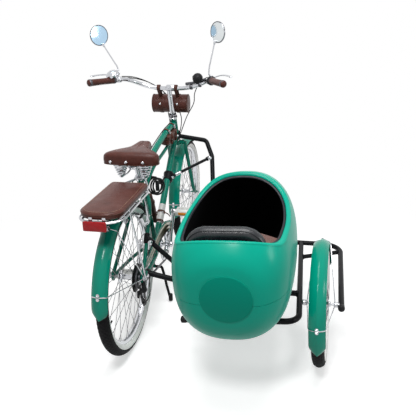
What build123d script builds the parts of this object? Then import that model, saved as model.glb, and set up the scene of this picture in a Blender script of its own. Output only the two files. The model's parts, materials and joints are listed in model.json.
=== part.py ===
"""Sidecar bicycle: a cruiser bicycle with an egg-shaped passenger pod on a side frame with a third wheel.

Lengths are in millimetres. While modelling, the origin is where the rear tyre meets the ground, +Y is forward, +X is
the sidecar side and +Z is up. At the end every solid is moved so that the origin is at the bounding box's bottom centre.
"""

import os
from collections import namedtuple
from math import atan2, cos, degrees, radians, sin, sqrt, tan

from build123d import *

os.makedirs("parts", exist_ok=True)

# wheels
WHEEL_RADIUS = 333.0
TYRE_RADIUS = 27.0
RIM_SEAT = 49.0
RIM_DEPTH = 15.0
RIM_WIDTH = 28.0
HUB_RADIUS = 15.0
FLANGE_RADIUS = 28.0
FLANGE_THICKNESS = 3.0
FLANGE_INSET = 8.0
SPOKE_RADIUS = 1.1
SPOKES = 36
SPOKE_LEAD = 38.0
AXLE_RADIUS = 5.0
AXLE_CLEARANCE = 0.3
NUT_RADIUS = 9.0
NUT_WIDTH = 8.0
FRONT_HUB_WIDTH = 66.0
REAR_HUB_WIDTH = 84.0
SIDE_WHEEL_RADIUS = 258.6
SIDE_HUB_WIDTH = 80.0
SIDE_TOE = 4.6
SIDE_CAMBER = 3.5
WHEELBASE = 1180.0

# steering
HEAD_LEAN = 22.0
RAKE = 55.0
HEAD_BOTTOM = 735.0
HEAD_TOP = 860.0
HEAD_RADIUS = 19.0
CUP_REACH = 3.0
CUP_HEIGHT = 9.0
STEERER_RADIUS = 12.7
STEERER_CLEARANCE = 0.4
CROWN_Z = 706.0
CROWN_RADIUS = 24.0
BLADE_RADIUS = 11.0
FORK_HALF = 63.0

# bicycle frame
BB_Y = 435.0
BB_Z = 300.0
BB_RADIUS = 21.0
BB_WIDTH = 70.0
SPINDLE_RADIUS = 9.0
SEAT_TUBE_LEAN = 24.8
SEAT_TUBE_RADIUS = 15.5
SEAT_TUBE_LENGTH = 448.0
SEAT_POST_RADIUS = 13.0
SEAT_POST_RISE = 80.0
SEAT_CLAMP_HEIGHT = 16.0
TOP_TUBE_RADIUS = 15.0
DOWN_TUBE_RADIUS = 17.0
MID_TUBE_RADIUS = 9.0
STAY_RADIUS = 8.5
DROPOUT_X = 66.0
DROPOUT_THICKNESS = 6.0
DROPOUT_RADIUS = 20.0

# saddle and rack
SADDLE_Z = 802.0
SADDLE_DEPTH = 55.0
SADDLE_ROUNDING = 16.0
SPRING_X = 55.0
SPRING_Y = 165.0
SPRING_HEIGHT = 58.0
SPRING_TOP_RADIUS = 22.0
SPRING_FOOT_RADIUS = 12.0
SADDLE_WIRE = 3.5
RACK_Z = 700.0
RACK_ROD = 5.0
RACK_HALF = 70.0
RACK_REAR_Y = -268.0
RACK_PAD_HALF = 84.0
RACK_PAD_THICKNESS = 33.0
REFLECTOR_HALF = 38.0

# fenders
FENDER_GAP = 10.0
FENDER_ARC = 36.0
FENDER_HALF_WIDTH = 30.0
FENDER_WALL = 1.6
FENDER_STAY_RADIUS = 2.2
FENDER_EDGE_DROP = 14.0

# drive
RING_RADIUS = 84.0
RING_THICKNESS = 4.0
COG_RADIUS = 40.0
COG_STACK = 10.0
CHAIN_X = 50.0
CHAIN_WIDTH = 7.0
CHAIN_DEPTH = 9.0
CRANK_LENGTH = 170.0
CRANK_LEAN = 20.0
CRANK_X = 78.0
CRANK_ARM_RADIUS = 9.0
CRANK_BOSS = 12.0
PEDAL_LENGTH = 98.0
PEDAL_WIDTH = 72.0
PEDAL_DEPTH = 26.0
PEDAL_GAP = 24.0
GUARD_X = 60.0
GUARD_THICKNESS = 3.0
CABLE_RADIUS = 2.5

# stand
STAND_Y = 372.0
STAND_Z = 200.0
STAND_LUG = 13.0
STAND_ROD = 7.0
STAND_PIN_RADIUS = 4.0

# handlebar
BAR_Z = 1028.0
BAR_RADIUS = 11.0
BAR_REACH = 40.0
GRIP_RADIUS = 16.0
STEM_RADIUS = 12.5
BAG_RADIUS = 50.0
BAG_HALF = 110.0
BAG_X = -14.0
BAG_Z = 935.0
BAG_AHEAD = 66.0
MIRROR_RADIUS = 55.0
MIRROR_THICKNESS = 14.0
BELL_RADIUS = 30.0
BELL_HEIGHT = 28.0
BULB_RADIUS = 23.0

# sidecar frame
SIDE_Z = 258.6
SIDE_TUBE_RADIUS = 12.5
INNER_RAIL_X = 741.0
OUTER_RAIL_FRONT_X = 943.0
OUTER_RAIL_REAR_X = 912.0
OUTER_RAIL_END_Y = 4.0
SIDE_WHEEL_X = 830.0
SIDE_WHEEL_Y = 30.0
FRONT_CROSS_Y = 640.0
SECOND_CROSS_Y = 465.0
SECOND_CROSS_LEAD = 90.0
SECOND_TUBE_RADIUS = 10.5
MID_CROSS_Y = 100.0
REAR_CROSS_Y = -122.0
REAR_CROSS_LEFT_Y = -176.0
CROSS_LEFT_X = 284.0
CORNER_RADIUS = 60.0
FRONT_CORNER_RADIUS = 90.0
STRUT_TOP_Z = 745.0
STRUT_CORNER = 34.0
BRACE_RADIUS = 8.0
UPPER_STRUT_RADIUS = 11.0

# pod
POD_X = 500.0
POD_WALL = 6.0
POD_SPLIT_Z = 490.0
LIP_REACH = 22.0
LIP_DEPTH = 16.0
TRIM_REACH = 31.0
TRIM_DEPTH = 10.0
SEAT_BASE_Z = 400.0
CUSHION_DEPTH = 50.0
BACKREST_X = 480.0
BACKREST_Y = -318.0
BACKREST_TOP = 732.0
BACKREST_WIDTH = 272.0
BACKREST_THICKNESS = 56.0
BACKREST_CORNER = 55.0
MAT_TOP = 296.0
PAD_HALF = 90.0
SEAT_GAP = 0.5

NODES = {}


def add(name, *solids):
    """Files solids under a node's name."""
    NODES.setdefault(name, []).extend(solids)


def rod(a, b, r, r2=None):
    """A round bar from a to b, tapering to r2 where given."""
    a, b = Vector(*a), Vector(*b)
    plane = Plane(origin=a, z_dir=b - a)
    length = (b - a).length
    base = (Align.CENTER, Align.CENTER, Align.MIN)
    if r2 is None:
        return plane * Cylinder(r, length, align=base)
    return plane * Cone(r, r2, length, align=base)


def swept(path, r):
    """A round bar along a wire or edge."""
    plane = Plane(origin=path @ 0, z_dir=path % 0)
    return sweep(plane * Circle(r), path=path)


def curve_bar(points, r):
    """A round bar along a smooth curve through the points."""
    return swept(Spline(*[Vector(*p) for p in points]), r)


def bent_bar(points, r, corner):
    """A round bar along straight runs with rounded corners."""
    return swept(FilletPolyline(*[Vector(*p) for p in points], radius=corner), r)


def arc_radii(points):
    """The radius at each corner of a cable's route: 0.45 of the shorter run over the tangent of half the turn."""
    radii = []
    for a, b, c in zip(points, points[1:], points[2:]):
        before, after = Vector(*b) - Vector(*a), Vector(*c) - Vector(*b)
        half_turn = radians(before.get_angle(after)) / 2
        radii.append(0.45 * min(before.length, after.length) / tan(half_turn))
    return radii


def cable(points):
    """A cable along straight runs joined by arcs as large as the runs allow."""
    radii = arc_radii(points)
    print("cable radii", [round(r) for r in radii])
    return bent_bar(points, CABLE_RADIUS, radii)


def disc(x0, x1, r, y=0.0, z=0.0, hole=0.0):
    """A disc or ring about a line along X."""
    x0, x1 = min(x0, x1), max(x0, x1)
    body = rod((x0, y, z), (x1, y, z), r)
    if hole > 0:
        body -= rod((x0 - 1, y, z), (x1 + 1, y, z), hole)
    return body


def box(x0, x1, y0, y1, z0, z1):
    """A box between two corners."""
    size = Box(abs(x1 - x0), abs(y1 - y0), abs(z1 - z0))
    return Pos((x0 + x1) / 2, (y0 + y1) / 2, (z0 + z1) / 2) * size


def mirrored(solid):
    """The same solid on the bicycle's other side."""
    return mirror(solid, about=Plane.YZ)


def steer_y(z):
    """Y of the steering axis at a height."""
    foot_y = WHEELBASE - RAKE * cos(radians(HEAD_LEAN))
    foot_z = WHEEL_RADIUS - RAKE * sin(radians(HEAD_LEAN))
    return foot_y - (z - foot_z) * tan(radians(HEAD_LEAN))


def steer(z, x=0.0, ahead=0.0):
    """A point on the steering axis at a height, moved aside and ahead."""
    return (x, steer_y(z) + ahead, z)


def seat_axis(length):
    """A point on the seat tube's axis, measured from the bottom bracket."""
    a = radians(SEAT_TUBE_LEAN)
    return (0.0, BB_Y - length * sin(a), BB_Z + length * cos(a))


# wheels


def tyre(radius, x, y, z):
    """A tyre with a flat seat where the rim sits."""
    centre = radius - TYRE_RADIUS
    section = Pos(0, centre) * Circle(TYRE_RADIUS)
    seat = radius - RIM_SEAT
    section -= Pos(0, seat - TYRE_RADIUS) * Rectangle(4 * TYRE_RADIUS, 2 * TYRE_RADIUS)
    return Pos(x, y, z) * revolve(Plane.XZ * section, axis=Axis.X)


def spoke(index, hub_half, rim_inner):
    """One spoke from a hub flange to the rim; neighbours lean to opposite sides."""
    side = 1 if index % 2 else -1
    a = radians(360.0 / SPOKES * index)
    lead = radians(SPOKE_LEAD if (index // 2) % 2 else -SPOKE_LEAD)
    foot = FLANGE_RADIUS - 4
    start = (side * (hub_half - FLANGE_INSET), foot * cos(a + lead), foot * sin(a + lead))
    end = (side * 3.0, (rim_inner + 3) * cos(a), (rim_inner + 3) * sin(a))
    return rod(start, end, SPOKE_RADIUS)


def wheel_core(radius, hub_width, x, y, z):
    """Rim, spokes and hub, with a bore for the axle."""
    rim_outer = radius - RIM_SEAT
    rim_inner = rim_outer - RIM_DEPTH
    half = hub_width / 2
    core = disc(-RIM_WIDTH / 2, RIM_WIDTH / 2, rim_outer, hole=rim_inner) + disc(-half, half, HUB_RADIUS)
    for side in (-1, 1):
        middle = side * (half - FLANGE_INSET)
        core += disc(middle - FLANGE_THICKNESS / 2, middle + FLANGE_THICKNESS / 2, FLANGE_RADIUS)
    core += [spoke(i, half, rim_inner) for i in range(SPOKES)]
    core -= disc(-half - 1, half + 1, AXLE_RADIUS + AXLE_CLEARANCE)
    return Pos(x, y, z) * core


def axle(x0, x1, y, z):
    """An axle with a nut inside each end."""
    body = disc(x0, x1, AXLE_RADIUS, y, z)
    for end, inward in ((x0, 1), (x1, -1)):
        body += disc(end + inward * 3, end + inward * (3 + NUT_WIDTH), NUT_RADIUS, y, z)
    return body


def fender(radius, x, y, z, start, sweep_deg):
    """A curved strip over a wheel, from the start angle (0 is up, positive is toward the rear) for sweep_deg."""
    centre = radius + FENDER_GAP - FENDER_ARC
    half = FENDER_HALF_WIDTH
    a = degrees(atan2(half, sqrt(FENDER_ARC**2 - half**2)))
    outer = Pos(0, centre) * CenterArc((0, 0), FENDER_ARC + FENDER_WALL, 90 - a, 2 * a)
    inner = Pos(0, centre) * CenterArc((0, 0), FENDER_ARC, 90 - a, 2 * a)
    strip = make_face([outer, inner, Line(outer @ 0, inner @ 0), Line(inner @ 1, outer @ 1)])
    face = Rot(start, 0, 0) * (Plane.XZ * strip)
    return Pos(x, y, z) * revolve(face, axis=Axis.X, revolution_arc=sweep_deg)


def fender_stays(radius, x, y, z, angles, spread):
    """Wire stays from the axle's ends to the fender's edges at the angles."""
    stays = []
    r = radius + FENDER_GAP - FENDER_EDGE_DROP
    for angle in angles:
        for side in (-1, 1):
            a = radians(angle)
            end = (x + side * FENDER_HALF_WIDTH, y - r * sin(a), z + r * cos(a))
            stays.append(rod((x + side * spread, y, z), end, FENDER_STAY_RADIUS))
    return stays


def lean_side(solid):
    """Turns what sits on the third wheel's axle: the wheel's front outward and its top toward the bicycle."""
    hub = Pos(SIDE_WHEEL_X, SIDE_WHEEL_Y, SIDE_Z)
    return hub * Rot(0, 0, -SIDE_TOE) * Rot(0, -SIDE_CAMBER, 0) * hub.inverse() * solid


Wheel = namedtuple("Wheel", "name radius hub x y z")
WHEELS = [
    Wheel("front", WHEEL_RADIUS, FRONT_HUB_WIDTH, 0, WHEELBASE, WHEEL_RADIUS),
    Wheel("rear", WHEEL_RADIUS, REAR_HUB_WIDTH, 0, 0, WHEEL_RADIUS),
    Wheel("side", SIDE_WHEEL_RADIUS, SIDE_HUB_WIDTH, SIDE_WHEEL_X, SIDE_WHEEL_Y, SIDE_Z),
]
for wheel in WHEELS:
    rubber = tyre(wheel.radius, wheel.x, wheel.y, wheel.z)
    core = wheel_core(wheel.radius, wheel.hub, wheel.x, wheel.y, wheel.z)
    if wheel.name == "side":
        rubber, core = lean_side(rubber), lean_side(core)
    add(wheel.name + "_tyre", rubber)
    add(wheel.name + "_wheel", core)

dropout_outside = DROPOUT_X + DROPOUT_THICKNESS / 2
rear_half = dropout_outside + NUT_WIDTH + 3
fork_outside = FORK_HALF + BLADE_RADIUS
front_half = fork_outside + NUT_WIDTH + 3
rear_axle = axle(-rear_half, rear_half, 0, WHEEL_RADIUS)
front_axle = axle(-front_half, front_half, WHEELBASE, WHEEL_RADIUS)
side_axle = lean_side(disc(INNER_RAIL_X, OUTER_RAIL_REAR_X, AXLE_RADIUS, SIDE_WHEEL_Y, SIDE_Z))
add("rear_axle", rear_axle)
cog_foot = REAR_HUB_WIDTH / 2
cogs = disc(cog_foot, cog_foot + COG_STACK, COG_RADIUS, 0, WHEEL_RADIUS, AXLE_RADIUS + AXLE_CLEARANCE)
add("cassette", cogs)

# bicycle frame

head = rod(steer(HEAD_BOTTOM), steer(HEAD_TOP), HEAD_RADIUS)
for cup_z in (HEAD_BOTTOM - CUP_HEIGHT, HEAD_TOP):
    head += rod(steer(cup_z), steer(cup_z + CUP_HEIGHT), HEAD_RADIUS + CUP_REACH)
head_bore = rod(steer(HEAD_BOTTOM - 40), steer(HEAD_TOP + 40), STEERER_RADIUS + STEERER_CLEARANCE)
add("head_tube", head - head_bore)
shell = disc(-BB_WIDTH / 2, BB_WIDTH / 2, BB_RADIUS, BB_Y, BB_Z)
stand_bore = disc(-STAND_LUG - 1, STAND_LUG + 1, STAND_PIN_RADIUS + AXLE_CLEARANCE, STAND_Y, STAND_Z)
stand_lug = disc(-STAND_LUG, STAND_LUG, 9, STAND_Y, STAND_Z)
stand_lug += rod((0, BB_Y - 8, BB_Z), (0, STAND_Y + 4, STAND_Z + 6), 9)
spindle_bore = disc(-BB_WIDTH, BB_WIDTH, SPINDLE_RADIUS + 1, BB_Y, BB_Z)
add("bb_shell", shell + stand_lug - stand_bore - spindle_bore)
seat_top = seat_axis(SEAT_TUBE_LENGTH)
seat_tube = rod(seat_axis(0), seat_top, SEAT_TUBE_RADIUS)
add("seat_tube", seat_tube - shell)
down = rod(steer(HEAD_BOTTOM + 22), (0, BB_Y, BB_Z), DOWN_TUBE_RADIUS)
add("down_tube", down - head - shell - seat_tube)
top_line = [steer(HEAD_TOP - 36), (0, 780, 817), (0, 600, 791), (0, 420, 750), seat_axis(SEAT_TUBE_LENGTH - 26)]
top = curve_bar(top_line, TOP_TUBE_RADIUS)
add("top_tube", top - head - seat_tube)
mid_line = [steer(HEAD_BOTTOM + 40), (0, 780, 737), (0, 611, 714), (0, 475, 695), (0, 355, 650), seat_axis(348)]
mid = curve_bar(mid_line, MID_TUBE_RADIUS)
add("mid_tube", mid - head - seat_tube - down)
seat_stay = curve_bar([(20, 286, 616), (42, 238, 566), (50, 170, 500), (62, 60, 395), (DROPOUT_X, 0, 347)], STAY_RADIUS)
chain_stay_line = [(24, 414, 302), (31, 364, 304), (43, 314, 308), (52, 250, 313), (62, 120, 323), (DROPOUT_X, 6, 331)]
chain_stay = curve_bar(chain_stay_line, STAY_RADIUS)
for side in (1, -1):
    x0, x1 = side * (DROPOUT_X - DROPOUT_THICKNESS / 2), side * dropout_outside
    plate = disc(x0, x1, DROPOUT_RADIUS, 0, WHEEL_RADIUS)
    legs = [seat_stay - seat_tube, chain_stay - shell]
    if side < 0:
        legs = [mirrored(leg) for leg in legs]
    add("rear_stays", plate + legs - disc(x0 - 1, x1 + 1, AXLE_RADIUS, 0, WHEEL_RADIUS) - rear_axle)

seat_post = rod(seat_top, seat_axis(SEAT_TUBE_LENGTH + SEAT_POST_RISE), SEAT_POST_RADIUS)
clamp_ring = rod(seat_axis(SEAT_TUBE_LENGTH), seat_axis(SEAT_TUBE_LENGTH + SEAT_CLAMP_HEIGHT), SEAT_TUBE_RADIUS + 4)
add("seat_post", seat_post + clamp_ring)

# saddle and rack

SADDLE_SIDE = [(26, 372), (36, 320), (56, 250), (104, 190), (124, 150), (98, 122)]
saddle_points = [(0, 386)] + SADDLE_SIDE + [(0, 116)] + [(-x, y) for x, y in reversed(SADDLE_SIDE)]
saddle_outline = make_face([Spline(*[Vector(*p) for p in saddle_points], periodic=True)])
saddle = Pos(0, 0, SADDLE_Z) * extrude(saddle_outline, amount=SADDLE_DEPTH)
saddle = fillet(saddle.edges().group_by(Axis.Z)[-1], SADDLE_ROUNDING)
add("saddle", saddle)
spring_foot_z = SADDLE_Z - SPRING_HEIGHT
clamp_point = seat_axis(SEAT_TUBE_LENGTH + SEAT_POST_RISE - 12)
springs = []
for side in (-1, 1):
    foot, head_end = (side * SPRING_X, SPRING_Y, spring_foot_z), (side * SPRING_X, SPRING_Y, SADDLE_Z)
    springs.append(rod(foot, head_end, SPRING_FOOT_RADIUS, SPRING_TOP_RADIUS))
    rail = [foot, (side * 22, clamp_point[1], clamp_point[2]), (side * 14, 320, SADDLE_Z + 2)]
    springs.append(bent_bar(rail, SADDLE_WIRE, 20))
yoke = rod((-30, clamp_point[1], clamp_point[2]), (30, clamp_point[1], clamp_point[2]), 11)
saddle_springs = yoke + springs - saddle - seat_post
add("saddle_springs", saddle_springs)

rack_front_y = seat_top[1] + 16
rack = bent_bar(
    [
        (-20, rack_front_y, RACK_Z),
        (-RACK_HALF, 150, RACK_Z),
        (-RACK_HALF, RACK_REAR_Y, RACK_Z),
        (RACK_HALF, RACK_REAR_Y, RACK_Z),
        (RACK_HALF, 150, RACK_Z),
        (20, rack_front_y, RACK_Z),
    ],
    RACK_ROD,
    30,
)
for y in (-180, -20):
    rack += rod((-RACK_HALF, y, RACK_Z), (RACK_HALF, y, RACK_Z), RACK_ROD - 1)
for side in (-1, 1):
    rack += rod((side * RACK_HALF, -120, RACK_Z), (side * 80, 0, WHEEL_RADIUS), 4) - rear_axle
add("rack", rack - seat_tube - clamp_ring)
pad_bottom = RACK_Z + RACK_ROD
pad_box = box(-RACK_PAD_HALF, RACK_PAD_HALF, RACK_REAR_Y - 4, 112, pad_bottom, pad_bottom + RACK_PAD_THICKNESS)
add("rack_pad", fillet(pad_box.edges().filter_by(Axis.Z), 45))
reflector = box(-REFLECTOR_HALF, REFLECTOR_HALF, RACK_REAR_Y - 17, RACK_REAR_Y - 5, 672, RACK_Z + 4)
add("rear_reflector", reflector - rack)

# rear fender

rear_fender = fender(WHEEL_RADIUS, 0, 0, WHEEL_RADIUS, -72, 163)
rear_fender += fender_stays(WHEEL_RADIUS, 0, 0, WHEEL_RADIUS, (75, 30), dropout_outside + 5)
add("rear_fender", rear_fender - seat_tube - rear_axle)

# drive


def wrapped(cog_extra, ring_extra):
    """The outline round both sprockets, as a face in Y and Z."""
    lines = []
    for y, z, r in ((0.0, WHEEL_RADIUS, COG_RADIUS + cog_extra), (BB_Y, BB_Z, RING_RADIUS + ring_extra)):
        loop = [(y + r * cos(radians(t)), z + r * sin(radians(t))) for t in range(0, 360, 10)]
        lines += [Line(p, q) for p, q in zip(loop, loop[1:] + loop[:1])]
    return make_hull(lines)


outer_loop = extrude(Plane.YZ * wrapped(CHAIN_DEPTH + 1, CHAIN_DEPTH + 1), amount=CHAIN_WIDTH)
inner_loop = extrude(Plane.YZ * wrapped(1, 1), amount=CHAIN_WIDTH)
add("chain", Pos(CHAIN_X - CHAIN_WIDTH / 2, 0, 0) * (outer_loop - inner_loop))

crankset = disc(-CRANK_X - 6, CRANK_X + 6, SPINDLE_RADIUS, BB_Y, BB_Z)
crankset += disc(CHAIN_X - RING_THICKNESS / 2, CHAIN_X + RING_THICKNESS / 2, RING_RADIUS, BB_Y, BB_Z)
for side, pedal in ((1, "pedal_right"), (-1, "pedal_left")):
    y = BB_Y + side * CRANK_LENGTH * sin(radians(CRANK_LEAN))
    z = BB_Z + side * CRANK_LENGTH * cos(radians(CRANK_LEAN))
    x = side * CRANK_X
    crankset += rod((x, BB_Y, BB_Z), (x + side * 10, y, z), CRANK_ARM_RADIUS)
    crankset += disc(x, x + side * 18, CRANK_BOSS, y, z)
    crankset += disc(x, x + side * (PEDAL_GAP + PEDAL_LENGTH + 6), 4.5, y, z)
    half, deep = PEDAL_WIDTH / 2, PEDAL_DEPTH / 2
    body = box(x + side * PEDAL_GAP, x + side * (PEDAL_GAP + PEDAL_LENGTH), y - half, y + half, z - deep, z + deep)
    add(pedal, body - disc(x, x + side * (PEDAL_GAP + PEDAL_LENGTH + 9), 4.8, y, z))
add("crankset", crankset)

guard_top = [(70, 372), (150, 394), (300, 430), (420, 432), (520, 400), (548, 330)]
guard_bottom = [(528, 312), (500, 340), (440, 380), (300, 370), (150, 354), (72, 348)]
guard = extrude(Plane.YZ * make_face(Polyline(*guard_top, *guard_bottom, close=True)), amount=GUARD_THICKNESS)
guard_pin = rod((57, 250, 316), (GUARD_X + 1, 250, 366), 3.5)
add("chain_guard", Pos(GUARD_X, 0, 0) * guard + guard_pin - chain_stay)
derailleur = rod((66, 0, 316), (66, -6, 290), 7) + rod((66, -6, 292), (66, 14, 205), 8) + disc(56, 70, 18, 14, 205)
derailleur -= disc(40, 90, DROPOUT_RADIUS, 0, WHEEL_RADIUS)
add("derailleur", derailleur - chain_stay)
rear_brake = []
for side in (-1, 1):
    arm = rod((side * 50, 166, 528), (side * 43, 160, 642), 5.5)
    arm += rod((side * 17, 176, 542), (side * 48, 176, 542), 6)
    arm += rod((side * 50, 172, 520), (side * 50, 172, 540), 7)
    rear_brake.append(arm - (seat_stay if side > 0 else mirrored(seat_stay)))
add("rear_brake", *rear_brake)

# leather goods and lock on the frame

tool_bag = fillet(box(-26, 26, 700, 880, 738, 806).edges(), 10)
add("tool_bag", tool_bag - top - mid)
add("seat_pouch", rod((16, 318, 602), (16, 396, 434), 13) - seat_tube - seat_stay - mid)
lock = Pos(30, 400, 616) * (Rot(0, 90, 35) * Torus(36, 11))
add("cable_lock", lock + (rod((4, 400, 668), (28, 400, 654), 5) - mid))

# stand

stand_line = [(STAND_LUG + 0.5, 0), (46, 0), (60, -60), (66, -100), (84, -184)]
leg = bent_bar([(x, STAND_Y, STAND_Z + dz) for x, dz in stand_line], STAND_ROD, 12)
leg += rod((84, STAND_Y, STAND_Z - 180), (86, STAND_Y, STAND_Z - 192), 10)
add("stand", disc(-STAND_LUG - 2, STAND_LUG + 2, STAND_PIN_RADIUS, STAND_Y, STAND_Z) + leg + mirrored(leg))

# fork and what turns with it

crown = rod(steer(CROWN_Z - 8), steer(HEAD_BOTTOM - CUP_HEIGHT - 2), CROWN_RADIUS)
clamp = steer(BAR_Z - 6)
stem_foot = HEAD_TOP + CUP_HEIGHT + 100
steerer = rod(steer(CROWN_Z - 4), steer(stem_foot), STEERER_RADIUS)
blade_line = [
    steer(CROWN_Z, 47),
    steer(620, 52),
    steer(480, 58, 4),
    (FORK_HALF - 1, 1104, 390),
    (FORK_HALF, WHEELBASE, WHEEL_RADIUS),
]
blade = curve_bar(blade_line, BLADE_RADIUS)
shoulder = rod(steer(CROWN_Z + 2), steer(CROWN_Z + 2, 47), BLADE_RADIUS + 1)
fork = crown + steerer + shoulder + mirrored(shoulder) + blade + mirrored(blade) + front_axle
add("fork", fork)
front_fender = fender(WHEEL_RADIUS, 0, WHEELBASE, WHEEL_RADIUS, -28, 128)
front_fender += fender_stays(WHEEL_RADIUS, 0, WHEELBASE, WHEEL_RADIUS, (85,), fork_outside + 4)
add("front_fender", front_fender - fork)

bar_y = clamp[1] + BAR_REACH
BarPoint = namedtuple("BarPoint", "out back up")
BAR_LINE = [
    BarPoint(0, 0, 0),
    BarPoint(95, 0, 2),
    BarPoint(152, 8, 16),
    BarPoint(200, 34, 38),
    BarPoint(232, 86, 54),
    BarPoint(256, 172, 60),
    BarPoint(294, 244, 62),
    BarPoint(333, 305, 62),
]


def on_bar(side, point, lift=0.0):
    """A point of the handlebar's line on one side, lifted by a height."""
    return (side * point.out, bar_y - point.back, BAR_Z + point.up + lift)


bar_half = curve_bar([on_bar(1, p) for p in BAR_LINE], BAR_RADIUS)
handlebar = bar_half + mirrored(bar_half)
add("handlebar", handlebar)
locknut_z = HEAD_TOP + CUP_HEIGHT + 0.6
locknut = rod(steer(locknut_z), steer(locknut_z + 14), HEAD_RADIUS + 1) - steerer
stem = rod(steer(stem_foot), clamp, STEM_RADIUS) + rod(clamp, (0, bar_y, BAR_Z), STEM_RADIUS)
add("stem", stem + rod((-18, bar_y, BAR_Z), (18, bar_y, BAR_Z), BAR_RADIUS + 5) - handlebar, locknut)
perch = BarPoint(250, 140, 58)
grips = []
levers = []
for side in (-1, 1):
    grip_end = BarPoint(338, 313, 62)
    grip = curve_bar([on_bar(side, p) for p in (BAR_LINE[5], BAR_LINE[6], grip_end)], GRIP_RADIUS)
    grips.append(grip - handlebar)
    lever_line = [(252, 124, 60), (296, 148, 72), (344, 208, 70), (362, 240, 66)]
    lever = curve_bar([on_bar(side, BarPoint(*p)) for p in lever_line], 4)
    lever += rod(on_bar(side, BarPoint(245, 128, 58)), on_bar(side, perch), BAR_RADIUS + 5)
    levers.append(lever - handlebar)
add("grips", *grips)
add("levers", *levers)
bag_y = steer_y(BAG_Z) + BAG_AHEAD
add("bar_bag", rod((BAG_X - BAG_HALF, bag_y, BAG_Z), (BAG_X + BAG_HALF, bag_y, BAG_Z), BAG_RADIUS) - steerer)
Mirror = namedtuple("Mirror", "side x y z turn")
for m in (Mirror(-1, 325, 720, 1309, 20), Mirror(1, 290, 720, 1319, 38)):
    facing = Vector(-m.side * sin(radians(m.turn)), -cos(radians(m.turn)), 0)
    centre = Vector(m.side * m.x, m.y, m.z)
    rim_point = (m.side * (m.x - 18), m.y, m.z - MIRROR_RADIUS + 8)
    elbow = (m.side * 238, 738, 1140)
    arm = rod(on_bar(m.side, perch, BAR_RADIUS + 5), elbow, 5) + rod(elbow, rim_point, 3.5)
    arm += rod(centre - facing * MIRROR_THICKNESS / 2, centre + facing * MIRROR_THICKNESS / 2, MIRROR_RADIUS)
    add("mirrors", arm - handlebar - levers[0 if m.side < 0 else 1])
bell_post = BarPoint(254, 161, 60)
bell_foot = on_bar(-1, BarPoint(256, 186, 60), GRIP_RADIUS + 5)
bell_top = (bell_foot[0], bell_foot[1], bell_foot[2] + BELL_HEIGHT)
bell = rod(on_bar(-1, bell_post), bell_foot, 5) + rod(bell_foot, bell_top, BELL_RADIUS)
add("bell", bell - handlebar - grips[0] - levers[0])
bulb_centre = on_bar(1, BAR_LINE[2], BAR_RADIUS + BULB_RADIUS - 2)
add("dome", Pos(*bulb_centre) * Sphere(BULB_RADIUS) + rod(on_bar(1, BAR_LINE[2]), bulb_centre, 9) - handlebar)

# sidecar frame

outer_run = [
    (CROSS_LEFT_X - 24, FRONT_CROSS_Y, SIDE_Z),
    (OUTER_RAIL_FRONT_X, FRONT_CROSS_Y, SIDE_Z),
    (OUTER_RAIL_REAR_X, OUTER_RAIL_END_Y, SIDE_Z),
]
inner_run = [
    (INNER_RAIL_X, FRONT_CROSS_Y, SIDE_Z),
    (INNER_RAIL_X, REAR_CROSS_Y, SIDE_Z),
    (CROSS_LEFT_X, REAR_CROSS_LEFT_Y, SIDE_Z),
]
side_axle_hole = lean_side(disc(INNER_RAIL_X - 40, OUTER_RAIL_FRONT_X, AXLE_RADIUS, SIDE_WHEEL_Y, SIDE_Z))
outer_rail = bent_bar(outer_run, SIDE_TUBE_RADIUS, FRONT_CORNER_RADIUS)
inner_rail = bent_bar(inner_run, SIDE_TUBE_RADIUS, CORNER_RADIUS)
add("outer_rail", outer_rail - side_axle_hole)
add("inner_rail", inner_rail - outer_rail - side_axle_hole)
add("side_axle", side_axle)
second_end_y = SECOND_CROSS_Y + SECOND_CROSS_LEAD
second = rod((INNER_RAIL_X, SECOND_CROSS_Y, SIDE_Z), (OUTER_RAIL_FRONT_X - 4, second_end_y, SIDE_Z), SECOND_TUBE_RADIUS)
mid_cross = rod((CROSS_LEFT_X, MID_CROSS_Y, SIDE_Z), (INNER_RAIL_X, MID_CROSS_Y, SIDE_Z), SIDE_TUBE_RADIUS)
add("cross_tubes", second - inner_rail - outer_rail, mid_cross - inner_rail)

strut_top = steer(STRUT_TOP_Z)
tall_line = [(24, strut_top[1], STRUT_TOP_Z), (180, 945, 726), (224, 880, 650), (275, FRONT_CROSS_Y, SIDE_Z)]
tall = bent_bar(tall_line, SIDE_TUBE_RADIUS, STRUT_CORNER)
collar_reach = HEAD_RADIUS + 10
collar = rod(steer(STRUT_TOP_Z - 7), steer(STRUT_TOP_Z + 23), collar_reach) - head
tall_trimmed = tall - rod(steer(700), steer(800), collar_reach - 1) - outer_rail
add("tall_strut", tall_trimmed, collar - down - mid - tall)
brace_clamp = rod((0, 762, 579), (0, 724, 547), DOWN_TUBE_RADIUS + 9) - down
strut_foot = (300, MID_CROSS_Y, SIDE_Z)
upper = rod((54, 127, 466), (300, MID_CROSS_Y, SIDE_Z + 6), UPPER_STRUT_RADIUS) - mid_cross - seat_stay
lower = rod((62, 70, 324), strut_foot, SIDE_TUBE_RADIUS) - mid_cross - chain_stay - upper
add("rear_struts", upper, lower)

# pod

Section = namedtuple("Section", "y half low high")
POD_SECTIONS = [
    Section(-450, 88, 440, 610),
    Section(-441, 124, 404, 650),
    Section(-420, 157, 362, 692),
    Section(-380, 189, 320, 745),
    Section(-320, 210, 296, 795),
    Section(-240, 217, 286, 832),
    Section(-120, 216, 282, 852),
    Section(20, 206, 278, 838),
    Section(160, 188, 278, 796),
    Section(300, 158, 286, 728),
    Section(420, 116, 304, 650),
    Section(500, 74, 338, 584),
    Section(542, 36, 386, 524),
]


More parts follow.
